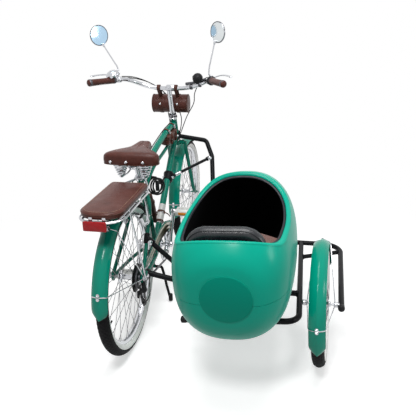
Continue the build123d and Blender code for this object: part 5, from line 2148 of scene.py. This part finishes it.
    def brake(self) -> None:
        """The rear brake: two curved arms on bosses, pads with bolts, the bent guide tube and its bellows."""
        metal, dark = [], []
        for side in (-1, 1):
            run = [(side * 0.050, 0.166, 0.522), (side * 0.054, 0.163, 0.560), (side * 0.051, 0.160, 0.605),
                   (side * 0.042, 0.160, 0.646)]
            metal.append(tube(smooth_path(run, 24), np.linspace(0.0075, 0.0048, 24), 16, flat=0.7))
            boss = np.array((side * 0.050, 0.176, 0.528))
            metal.append(tube([boss, boss - (0, 0.026, 0)], 0.0085, 20))
            metal.append(bolt_at(0.0050, 0.004, (0, -1, 0), boss - (0, 0.026, 0)))
            pad = np.array((side * 0.024, 0.178, 0.556))
            dark.append(tube([pad - (0, 0.030, 0.002), pad + (0, 0.030, 0.002)], 0.0062, 12, flat=0.7))
            metal.append(tube([pad, pad + (side * 0.032, 0, 0)], 0.0036, 10))
            metal.append(bolt_at(0.0048, 0.004, (side, 0, 0), pad + (side * 0.031, -0.004, 0)))
        guide = smooth_path([(-0.042, 0.158, 0.646), (-0.066, 0.164, 0.654),
                             (-0.064, 0.186, 0.668), (-0.045, 0.196, 0.664)], 24)
        metal.append(tube(guide, 0.0030, 10))
        metal.append(tube([(-0.042, 0.158, 0.646), (0.040, 0.158, 0.643)], 0.0010, 6))
        dark.append(tube([(-0.020, 0.158, 0.6455), (0.018, 0.158, 0.6440)], 0.0042, 12))
        build(self.bike, "brake_arms", joined(metal), Body.FRAME, CHROME, ("rear_brake",), "chrome", 40)
        build(self.bike, "brake_rubbers", joined(dark), Body.FRAME, PLASTIC)

    def make(self) -> None:
        """Builds the drive's pieces."""
        self.chain()
        self.chainset()
        self.cogs()
        self.derailleur()
        self.guard_stripes()
        self.pedals()
        self.brake()


@dataclass
class SideFrame:
    """Clamps, bolts, caps and axle nuts on the bicycle's and the side frame's tubes.

    Args:
        bike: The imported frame.
        rail_z: The height of the rails.
        tube: The rails' radius.
    """

    bike: Bike
    rail_z: float = 0.2586
    tube: float = 0.0125

    def caps(self) -> None:
        """Moulded plugs in the open tube ends."""
        parts = []
        for place, way in (((0.260, 0.640), (-1, 0)), ((0.912, 0.004), (-0.05, -1)),
                           ((0.284, -0.176), (-1, -0.12))):
            end = np.array((*place, self.rail_z))
            out = unit((*way, 0.0))
            parts.append(tube([end - out * 0.010, end + out * 0.0035], self.tube + 0.0016, 28))
        build(self.bike, "tube_caps", joined(parts), Body.FRAME, PLASTIC)

    def clamps(self) -> None:
        """Split clamps where the struts hold the bicycle's frame, with ears and bolts."""
        black, metal = [], []
        foot = self.bike.pivot("crank_spin") * (0.0, 1.0, 1.0)
        head = np.array((0.0, 0.9494, 0.757))
        along = unit(head - foot)
        middle = np.array((0.0, 0.743, 0.563))
        for step in (-0.017, 0.017):
            black.append(tube([middle + along * (step - 0.004), middle + along * (step + 0.004)], 0.0275, 36))
        ear = middle + (0.028, 0.0, 0.004)
        black.append(tube([ear - (0, 0, 0.006), ear + (0, 0, 0.006)], 0.0120, 20))
        metal.append(bolt_at(0.0062, 0.005, (0.3, -0.9, 0), middle + (0.030, -0.012, 0.002)))
        metal.append(bolt_at(0.0062, 0.005, (-0.3, -0.9, 0), middle + (-0.020, -0.020, 0.002)))
        brace_foot, brace_head = np.array((0.034, 0.745, 0.572)), np.array((0.214, 0.872, 0.646))
        way = unit(brace_head - brace_foot)
        metal.append(tube([brace_foot + way * 0.010, brace_foot + way * 0.040], 0.0089, 20))
        black.append(tube([brace_head - way * 0.022, brace_head - way * 0.004], 0.0115, 20))
        metal.append(tube([brace_head - (0, 0.017, 0), brace_head - (0, 0.010, 0)], 0.0105, 20))
        metal.append(bolt_at(0.0085, 0.006, (0.1, -1, 0.15), brace_head - (0.0, 0.016, 0.0)))
        stay, stay_way = np.array((0.0535, 0.130, 0.464)), unit((0.012, -0.11, -0.105))
        black.append(tube([stay - stay_way * 0.020, stay + stay_way * 0.020], 0.0132, 26))
        black.append(tube([stay + (0.004, -0.004, 0), stay + (0.030, -0.004, -0.020)], 0.0150, 22))
        metal.append(bolt_at(0.0085, 0.006, (0.35, -0.9, 0.1), stay + (0.022, -0.018, -0.012)))
        low = np.array((0.0625, 0.070, 0.324))
        black.append(tube([low - (0.0, 0.018, 0.003), low + (0.0, 0.018, -0.002)], 0.0135, 24))
        metal.append(bolt_at(0.0080, 0.006, (0.2, -1.0, 0.1), low + (0.006, -0.020, -0.004)))
        collar = self.bike.steer(0.753)
        for side in (-1, 1):
            metal.append(bolt_at(0.0060, 0.005, (side * 0.5, -0.9, 0), collar + (side * 0.016, -0.027, 0)))
        build(self.bike, "frame_clamps", joined(black), Body.FRAME, BLACK, (), "black_paint")
        build(self.bike, "frame_bolts", joined(metal), Body.FRAME, CHROME, (), "chrome", 40)

    def welds(self) -> None:
        """Beads where the side frame's tubes meet."""
        beads = []
        spots = [((0.741, 0.100), (1, 0), self.tube), ((0.741, 0.465), (-0.91, -0.41), 0.0105),
                 ((0.300, 0.100), (-1, 0), self.tube), ((0.939, 0.555), (0.91, 0.41), 0.0105)]
        for place, way, radius in spots:
            toward = unit((*way, 0.0))
            centre = np.array((*place, self.rail_z)) - toward * (self.tube + 0.001)
            beads.append(ring_tube(circle_path(centre, toward, radius + 0.0008, 40), 0.0022, 8))
        build(self.bike, "weld_beads", joined(beads), Body.FRAME, BLACK, (), "black_paint")

    def nuts(self) -> None:
        """Hexagon nuts and washers on the ends of the three axles, and the seat clamp's bolt."""
        rear, front = self.bike.pivot("rear_wheel_spin"), self.bike.pivot("front_wheel_spin")
        side_hub = self.bike.pivot("side_wheel_spin")
        frame_nuts, fork_nuts = [], []
        for side in (-1, 1):
            frame_nuts.append(bolt_at(0.0092, 0.010, (side, 0, 0), rear + (side * 0.0720, 0, 0)))
            fork_nuts.append(bolt_at(0.0092, 0.010, (side, 0, 0), front + (side * 0.0770, 0, 0)))
        frame_nuts.append(bolt_at(0.0092, 0.009, (1, 0, 0), side_hub + (0.0830, 0, 0)))
        for x in (0.762, 0.893):
            centre = np.array((x, side_hub[1], side_hub[2]))
            frame_nuts.append(tube([centre - (0.006, 0, 0), centre + (0.006, 0, 0)], 0.0120, 24))
        seat = self.bike.seat_line(0.456)
        frame_nuts.append(tube([seat + (-0.014, -0.018, 0), seat + (0.014, -0.018, 0)], 0.0048, 12))
        frame_nuts.append(bolt_at(0.0046, 0.004, (1, 0, 0), seat + (0.014, -0.018, 0)))
        build(self.bike, "frame_nuts", joined(frame_nuts), Body.FRAME, STEEL, (), "steel", 40)
        build(self.bike, "fork_nuts", joined(fork_nuts), Body.FORK, STEEL, (), "steel", 40)

    def feet(self) -> None:
        """Rubber feet on the stand."""
        hinge = self.bike.pivot("stand_fold")
        parts = []
        for side in (-1, 1):
            tip = hinge * (0.0, 1.0, 1.0) + (side * 0.0855, 0.0, -0.184)
            parts.append(tube([tip + (0, 0, 0.026), tip - (0, 0, 0.006)], 0.0112, 20))
        build(self.bike, "stand_feet", joined(parts), Body.STAND, PLASTIC)

    def make(self) -> None:
        """Builds the fittings."""
        self.caps()
        self.clamps()
        self.welds()
        self.nuts()
        self.feet()


# Pod


@dataclass
class Pod:
    """The passenger pod: an egg whose sections are superellipses, cut open above a line.

    Args:
        bike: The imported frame.
        middle: The X of its middle plane before it is turned out.
        heart: The Y and Z of the point from which its skins are drawn; Z is the mould line's height.
        wall: The shell's thickness.
        toe: How far it is turned outward, in radians.
        tilt: How far it leans toward the bicycle, in radians.
        power: How full the sections are, 2 for ellipses.
        sections: (y, half width, low, high) of the sections, rear to front.
        opening: (y, z) of the cut's line, rear to front.
        disc: Half width, half height and middle's height of the rear disc.
        roll: The place of the backrest's top.
    """

    bike: Bike
    middle: float = 0.502
    heart: tuple = (-0.120, 0.503)
    wall: float = 0.006
    toe: float = 0.0363
    tilt: float = 0.0644
    power: float = 2.41
    sections: tuple = (
        (-0.450, 0.086, 0.443, 0.610), (-0.441, 0.122, 0.407, 0.648), (-0.420, 0.154, 0.366, 0.686),
        (-0.380, 0.186, 0.326, 0.732), (-0.320, 0.208, 0.303, 0.772), (-0.240, 0.217, 0.293, 0.798),
        (-0.120, 0.221, 0.287, 0.821), (0.020, 0.216, 0.281, 0.816), (0.160, 0.198, 0.280, 0.787),
        (0.300, 0.166, 0.287, 0.734), (0.420, 0.120, 0.304, 0.660), (0.500, 0.077, 0.337, 0.590),
        (0.542, 0.037, 0.385, 0.528),
    )
    opening: tuple = (
        (-0.540, 0.725), (-0.430, 0.726), (-0.320, 0.673), (-0.200, 0.677), (-0.100, 0.693), (-0.010, 0.716),
        (0.050, 0.754), (0.086, 0.812), (0.106, 0.880),
    )
    disc: tuple = (0.090, 0.085, 0.526)
    roll: tuple = (0.497, -0.318, 0.735)

    def __post_init__(self) -> None:
        """Smooths the two tables into fine ones."""
        self.form = smooth_path(self.sections, 600)
        self.form = np.maximum(self.form, (-1.0, 0.03, 0.2, 0.4))
        self.cut = smooth_path(np.array(self.opening), 400)

    def add(self, name: str, shape: Shape, *rest: object, **more: object) -> bpy.types.Object:
        """Builds a piece of the pod, leaned and then turned outward.

        Args:
            name: The piece's name.
            shape: Its surface, as in an upright pod.
        *rest: What build() takes after the body.
        **more: What build() takes by name.

        Returns:
            The built object.
        """
        c, s = cos(self.toe), sin(self.toe)
        turn = np.array(((c, -s, 0.0), (s, c, 0.0), (0.0, 0.0, 1.0)))
        c, s = cos(self.tilt), sin(self.tilt)
        turn = np.array(((c, 0.0, s), (0.0, 1.0, 0.0), (-s, 0.0, c))) @ turn
        pivot = np.array((0.5, 0.0, 0.56))
        return build(self.bike, name, shape.moved(-pivot).turned_to(turn, pivot), Body.FRAME, *rest, **more)

    def edge_height(self, y: np.ndarray) -> np.ndarray:
        """The cut's height at a distance along the pod."""
        return np.interp(y, self.cut[:, 0], self.cut[:, 1])

    def inside(self, points: np.ndarray, inset: float) -> np.ndarray:
        """Whether points lie in the egg with its walls moved in: within its ends and its sections.

        Args:
            points: The places to test.
            inset: How far the walls are moved in.

        Returns:
            One truth value for each place.
        """
        x, y, z = np.moveaxis(points, -1, 0)
        rear, front = self.sections[0][0], self.sections[-1][0]
        share = (y - rear) / (front - rear)
        at = y - inset * (1 - 2 * share)
        half, low, high = (np.interp(at, self.form[:, 0], self.form[:, k]) for k in (1, 2, 3))
        tall = (high - low) / 2 - inset
        ring = np.abs((x - self.middle) / (half - inset)) ** self.power
        ring = ring + np.abs((z - (high + low) / 2) / tall) ** self.power
        return (ring < 1) & (y > rear + inset) & (y < front - inset)

    def reach(self, line: object, count: int, inset: float) -> np.ndarray:
        """How far lines from inside go until they leave the egg, by halving the range 30 times.

        Args:
            line: Gives the points at a distance along each line.
            count: How many lines there are, or their grid's shape.
            inset: How far in the egg's walls are moved.

        Returns:
            The distance along each line.
        """
        near, far = np.zeros(count), np.full(count, 0.9)
        for _ in range(30):
            half_way = (near + far) / 2
            within = self.inside(line(half_way), inset)
            near, far = np.where(within, half_way, near), np.where(within, far, half_way)
        return near

    def rim(self, inset: float, lift: float, count: int = 260) -> np.ndarray:
        """Points round the opening, where the lifted cut meets the egg with its walls moved in.

        Args:
            inset: How far the walls are moved in.
            lift: How far the cut is raised.
            count: How many points.

        Returns:
            The points, one row each.
        """
        a = np.linspace(0, 2 * pi, count, endpoint=False)

        def along(distance: np.ndarray) -> np.ndarray:
            """Points on the cut's surface at distances from the pod's heart."""
            y = self.heart[0] + distance * np.sin(a)
            return np.stack((self.middle + distance * np.cos(a), y, self.edge_height(y) + lift), -1)

        return along(self.reach(along, count, inset))

    def level(self, height: float, inset: float, start: float, end: float, count: int = 60) -> np.ndarray:
        """Points of the moved-in wall at a height, between two bearings from the heart, in degrees.

        Args:
            height: The height over the floor.
            inset: How far the walls are moved in.
            start: The first bearing.
            end: The last bearing.
            count: How many points.

        Returns:
            The points, one row each.
        """
        a = np.radians(np.linspace(start, end, count))

        def along(distance: np.ndarray) -> np.ndarray:
            """Points at distances from the heart."""
            flat = (self.middle + distance * np.cos(a), self.heart[0] + distance * np.sin(a),
                    np.full(count, height))
            return np.stack(flat, -1)

        return along(self.reach(along, count, inset))

    def skin(self, inset: float, low: np.ndarray, high: np.ndarray, rows: int) -> np.ndarray:
        """Points of the egg along rays from its heart, between two angles of height at each azimuth.

        Args:
            inset: How far the walls are moved in.
            low: The lower angle at each azimuth.
            high: The upper angle at each azimuth.
            rows: How many points each ray's arc has.

        Returns:
            The grid of points, rows by azimuths by three.
        """
        count = len(high)
        a = np.linspace(0, 2 * pi, count, endpoint=False)[None]
        rise = low + (high - low) * np.linspace(0, 1, rows)[:, None]
        ray = np.stack((np.cos(a) * np.cos(rise), np.sin(a) * np.cos(rise), np.sin(rise)), -1)
        heart = np.array((self.middle, *self.heart))

        def along(distance: np.ndarray) -> np.ndarray:
            """Points at distances along the rays."""
            return heart + ray * distance[..., None]

        return along(self.reach(along, rise.shape, inset))

    def rim_rise(self, inset: float, lift: float) -> np.ndarray:
        """The rim's angle of height over the pod's heart at each azimuth.

        Args:
            inset: How far the walls are moved in.
            lift: How far the cut is raised.

        Returns:
            One angle for each azimuth.
        """
        rim = self.rim(inset, lift)
        offset = rim - (self.middle, *self.heart)
        return np.arctan2(offset[:, 2], np.linalg.norm(offset[:, :2], axis=1))

    def shell(self) -> None:
        """The two halves of the shell, which meet at the mould line, the lip and its rubber edging."""
        rise = self.rim_rise(0.0, -0.003)
        flat = np.zeros_like(rise)
        for name, node, low, high in (("pod_bottom", "pod_lower", flat - radians(89.0), flat - 0.002),
                                      ("pod_top", "pod_upper", flat + 0.002, rise)):
            outer = self.skin(0.0, low, high, 90)
            step = self.skin(0.0025, low, high, 90)
            inner = self.skin(self.wall, low, high, 60)
            if name == "pod_bottom":
                rows = np.concatenate((outer, step[-1:], inner[::-1]))
                shape = capped(rows)
            else:
                rows = np.concatenate((step[:1], outer, inner[::-1]))
                shape = lattice(rows, True, True)
            self.add(name, shape, POD_GLOSS, (node,), "pod_gloss", crease=50)
        profile = [(0.004, -0.010), (-0.0006, -0.008), (-0.0012, -0.003), (0.0006, 0.0010), (0.004, 0.0032)]
        profile += [(0.0075, 0.0042), (0.0105, 0.0040), (0.013, 0.0024), (0.0152, -0.0005), (0.0162, -0.005)]
        profile += [(0.0162, -0.016), (0.009, -0.016)]
        lip = np.array([self.rim(inset, lift) for inset, lift in profile])
        self.add("pod_lip", lattice(lip, True, True), POD_GLOSS, (), "pod_gloss", crease=60)
        profile = [(0.0154, -0.003), (0.0168, 0.0006), (0.0195, 0.0018), (0.0225, 0.0008), (0.0245, -0.002)]
        profile += [(0.0245, -0.014), (0.0154, -0.014)]
        edging = np.array([self.rim(inset, lift) for inset, lift in profile])
        self.add("pod_edging", lattice(edging, True, True), EDGING, ("pod_trim",), "plastic")

    def lining(self) -> None:
        """A near-black sheet inside the shell: painted shade for the pod's dark interior."""
        rise = self.rim_rise(0.0085, -0.012)
        outer = self.skin(0.0075, rise * 0 - radians(89.0), rise, 70)
        inner = self.skin(0.0090, rise * 0 - radians(89.0), rise, 70)
        self.add("pod_lining_painted_shade", capped(np.concatenate((outer, inner[::-1]))), SHADE_LINER)

    def rear_disc(self) -> None:
        """The flat disc on the pod's rear end, in a darker copy of the pod's gelcoat as painted shade."""
        width, height, z = self.disc
        plate = slab(ellipse(width, height, 96), 0.004, 0.0012)
        frame = np.array(((1.0, 0.0, 0.0), (0.0, 0.0, 1.0), (0.0, -1.0, 0.0)))
        place = (self.middle + 0.010, self.sections[0][0] - 0.0002, z)
        self.add("pod_disc_painted_shade", plate.turned_to(frame, place), POD_SHADED_DISC, (), "pod_gloss")

    def backrest(self) -> None:
        """The padded backrest, whose rolled top shows in the opening, with piping along its edge."""
        low, high = self.bike.box("backrest")
        x, y, top = self.roll
        width, height = 0.286, top - low[2]
        outline = rounded_box(width, height, 0.080, 0.030)
        lean = radians(4)
        frame = np.array(((1.0, 0.0, 0.0), (0.0, -sin(lean), cos(lean)), (0.0, -cos(lean), -sin(lean))))
        place = (x, y, top - height / 2)
        pad = pillow(outline, 0.054, 0.026, 0.006, 0.012).turned_to(frame, place)
        rest = self.add("backrest_pad", pad, VINYL, ("backrest",), "vinyl", crease=80)
        cord = np.column_stack((inset_outline(outline, 0.006), np.full(len(outline), 0.0185))) @ frame + place
        self.add("backrest_piping", ring_tube(cord, 0.0024, 8), VINYL, (), "vinyl")

    def side_shelf(self) -> None:
        """The carpeted ledge between backrest and right wall: a band along the wall, thickened down."""
        rows = ((0.636, 0.010), (0.650, 0.011), (0.654, 0.020), (0.654, 0.098),
                (0.650, 0.103), (0.636, 0.103))
        points = np.array([self.level(height, inset, -74, -35) for height, inset in rows]).transpose(1, 0, 2)
        self.add("pod_ledge", capped(points), CARPET, (), "carpet", crease=60)

    def make(self) -> None:
        """Builds the pod's pieces."""
        self.shell()
        self.side_shelf()
        self.lining()
        self.rear_disc()
        self.backrest()


# Stage


@dataclass
class Studio:
    """White floor and world, soft lamps and the photograph's camera.

    Args:
        bike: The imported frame.
        eye: The camera's place.
        yaw: Its turn to the left of straight ahead, in radians.
        pitch: How far it looks down, in radians.
        roll: Its roll, in radians.
        focal: The focal length, in widths of the photograph's pixels.
        sensor: The sensor's width in millimetres.
        sky: The world's strength as light.
        pale: The floor's grey where it is seen.
        dull: Its grey for the light that it gives back.
        glow: How brightly it shines where it is seen.
        reach: Half the floor's side.
        rest: How far from the middle the floor starts to fade to white.
    """

    bike: Bike
    eye: tuple = (0.71763, -1.91599, 1.40537)
    yaw: float = 0.184473
    pitch: float = 0.359049
    roll: float = -0.016174
    focal: float = 518.315
    sensor: float = 36.0
    sky: float = 0.22
    pale: float = 0.80
    dull: float = 0.42
    glow: float = 0.53
    reach: float = 22.0
    rest: float = 0.95

    def camera(self) -> None:
        """Places the camera: its axes come from yaw and pitch, then roll about the line of sight."""
        forward = np.array((-sin(self.yaw) * cos(self.pitch), cos(self.yaw) * cos(self.pitch),
                            -sin(self.pitch)))
        right = np.array((cos(self.yaw), sin(self.yaw), 0.0))
        up = np.cross(right, forward)
        across = cos(self.roll) * right + sin(self.roll) * up
        over = -sin(self.roll) * right + cos(self.roll) * up
        data = bpy.data.cameras.new("photo_camera")
        data.sensor_width = self.sensor
        data.lens = self.focal / PHOTO_SIDE * self.sensor
        data.clip_end = 60.0
        camera = bpy.data.objects.new("photo_camera", data)
        place = self.bike.at(self.eye)
        rows = [(across[i], over[i], -forward[i], place[i]) for i in range(3)]
        camera.matrix_world = Matrix(rows + [(0.0, 0.0, 0.0, 1.0)])
        bpy.context.scene.collection.objects.link(camera)
        bpy.context.scene.camera = camera

    def seen(self, tree: bpy.types.NodeTree) -> bpy.types.NodeSocket:
        """One for camera, glossy and transmission rays, else zero.

        Args:
            tree: The node tree that the socket is for.

        Returns:
            The socket of the number.
        """
        path = tree.nodes.new("ShaderNodeLightPath")
        total = path.outputs["Is Camera Ray"]
        for name in ("Is Glossy Ray", "Is Transmission Ray"):
            add = tree.nodes.new("ShaderNodeMath")
            add.operation = "MAXIMUM"
            tree.links.new(total, add.inputs[0])
            tree.links.new(path.outputs[name], add.inputs[1])
            total = add.outputs[0]
        return total

    def world(self) -> None:
        """A world that is white where it is seen and a softer grey as light."""
        world = bpy.data.worlds.new("studio")
        world.use_nodes = True
        tree = world.node_tree
        tree.nodes.clear()
        parts = []
        for strength in (self.sky, 1.0):
            part = tree.nodes.new("ShaderNodeBackground")
            part.inputs["Strength"].default_value = strength
            part.inputs["Color"].default_value = (1.0, 1.0, 1.0, 1.0)
            parts.append(part)
        mix = tree.nodes.new("ShaderNodeMixShader")
        tree.links.new(self.seen(tree), mix.inputs[0])
        tree.links.new(parts[0].outputs[0], mix.inputs[1])
        tree.links.new(parts[1].outputs[0], mix.inputs[2])
        out = tree.nodes.new("ShaderNodeOutputWorld")
        tree.links.new(mix.outputs[0], out.inputs[0])
        bpy.context.scene.world = world

    def floor(self) -> None:
        """A wide pale floor that keeps the soft shadows and is white where it is seen."""
        corners = self.reach * np.array([(-1.0, -1.0, 0.0), (1.0, -1.0, 0.0),
                                         (1.0, 1.0, 0.0), (-1.0, 1.0, 0.0)])
        mesh = bpy.data.meshes.new("floor")
        mesh.from_pydata((corners - (0.0, 0.0, 0.0002)).tolist(), [], [[0, 1, 2, 3]])
        s = Shader("studio_floor")
        matt = s.node("ShaderNodeBsdfDiffuse", {}, {"Color": (self.pale, self.pale, self.pale, 1.0)})
        dull = s.node("ShaderNodeBsdfDiffuse", {}, {"Color": (self.dull, self.dull, self.dull, 1.0)})
        glow = s.node("ShaderNodeEmission", {}, {"Color": (1.0, 1.0, 1.0, 1.0), "Strength": self.glow})
        both = s.node("ShaderNodeAddShader", {}, {0: matt.outputs[0], 1: glow.outputs[0]})
        white = s.node("ShaderNodeEmission", {}, {"Color": (1.0, 1.0, 1.0, 1.0), "Strength": 1.0})
        x, y, _ = s.axes()
        far = ((x * x + y * y) ** 0.5 - self.rest) * 1.1
        fade = s.node("ShaderNodeClamp", {}, {0: far})
        shown = s.node("ShaderNodeMixShader", {},
                       {0: fade.outputs[0], 1: both.outputs[0], 2: white.outputs[0]})
        mixed = s.node("ShaderNodeMixShader", {},
                       {0: self.seen(s.tree), 1: dull.outputs[0], 2: shown.outputs[0]})
        s.node("ShaderNodeOutputMaterial", {}, {0: mixed.outputs[0]})
        mesh.materials.append(s.material)
        floor = bpy.data.objects.new("floor", mesh)
        bpy.context.scene.collection.objects.link(floor)

    def lamp(self, name: str, place: tuple, aim: tuple, size: float, power: float) -> None:
        """A square soft lamp at a place, facing a point.

        Args:
            name: The lamp's name.
            place: Where it stands.
            aim: The point it faces.
            size: Its side's length.
            power: Its power in watts.
        """
        data = bpy.data.lights.new(name, "AREA")
        data.size = size
        data.energy = power
        lamp = bpy.data.objects.new(name, data)
        frame = square_frame(np.subtract(place, aim))
        rows = [(frame[0][i], frame[1][i], frame[2][i], place[i]) for i in range(3)]
        lamp.matrix_world = Matrix(rows + [(0.0, 0.0, 0.0, 1.0)])
        bpy.context.scene.collection.objects.link(lamp)

    def make(self) -> None:
        """Sets the stage."""
        bpy.context.scene.view_settings.view_transform = "Standard"
        self.camera()
        self.world()
        self.floor()
        self.lamp("overhead", (0.15, -0.75, 3.4), (0.1, -0.75, 0.0), 1.7, 62.0)
        self.lamp("key", (-0.05, -2.55, 3.3), (0.15, -0.9, 0.6), 0.6, 46.0)
        self.lamp("right_window", (2.7, -1.0, 1.5), (0.5, -0.5, 0.5), 0.7, 14.0)


def main() -> None:
    logging.basicConfig(level=logging.INFO, format="%(message)s")
    bike = Bike()
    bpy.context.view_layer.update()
    Studio(bike).make()
    side_hub = bike.pivot("side_wheel_spin")
    front_hub = bike.pivot("front_wheel_spin")
    rear_hub = bike.pivot("rear_wheel_spin")
    rear, front, side = (bike.wheel_frame(name)
                         for name in ("rear_wheel_spin", "front_wheel_spin", "side_wheel_spin"))
    Wheel(bike, "rear", Body.REAR_WHEEL, rear_hub, rear, 0.333, 0.084).make()
    Wheel(bike, "front", Body.FRONT_WHEEL, front_hub, front, 0.333, 0.066).make()
    Wheel(bike, "side", Body.SIDE_WHEEL, side_hub, side, 0.2586, 0.080, tread_blocks=76).make()
    Fender(bike, "rear_fender", Body.FRAME, rear_hub, rear, 0.333, -72, 163, (75, 30), 0.074).make()
    Fender(bike, "front_fender", Body.FORK, front_hub, front, 0.333, -28, 128, (85,), 0.078).make()
    Fender(bike, "side_fender", Body.FRAME, side_hub, side, 0.2586, -80, 187, (82, -30), 0.058).make()
    dress(bike, FRAME_PAINT, "head_tube", "bb_shell", "seat_tube", "down_tube", "top_tube", "mid_tube",
          "rear_stays", "fork", "chain_guard")
    Saddle(bike).make()
    Carrier(bike).make()
    FrameBags(bike).make()
    Cockpit(bike).make()
    Drive(bike).make()
    SideFrame(bike).make()
    dress(bike, CHROME, "handlebar", "stem", "seat_post", "rack")
    dress(bike, STEEL, "rear_axle", "side_axle")
    dress(bike, PLASTIC, "cables", "bar_cable")
    dress(bike, BLACK, "stand", "inner_rail", "outer_rail", "cross_tubes", "tall_strut",
          "brace", "rear_struts", "pod_mounts")
    Pod(bike).make()
    dress(bike, VINYL, "pod_seat")
    dress(bike, CARPET, "floor_mat")


if __name__ == "__main__":
    main()
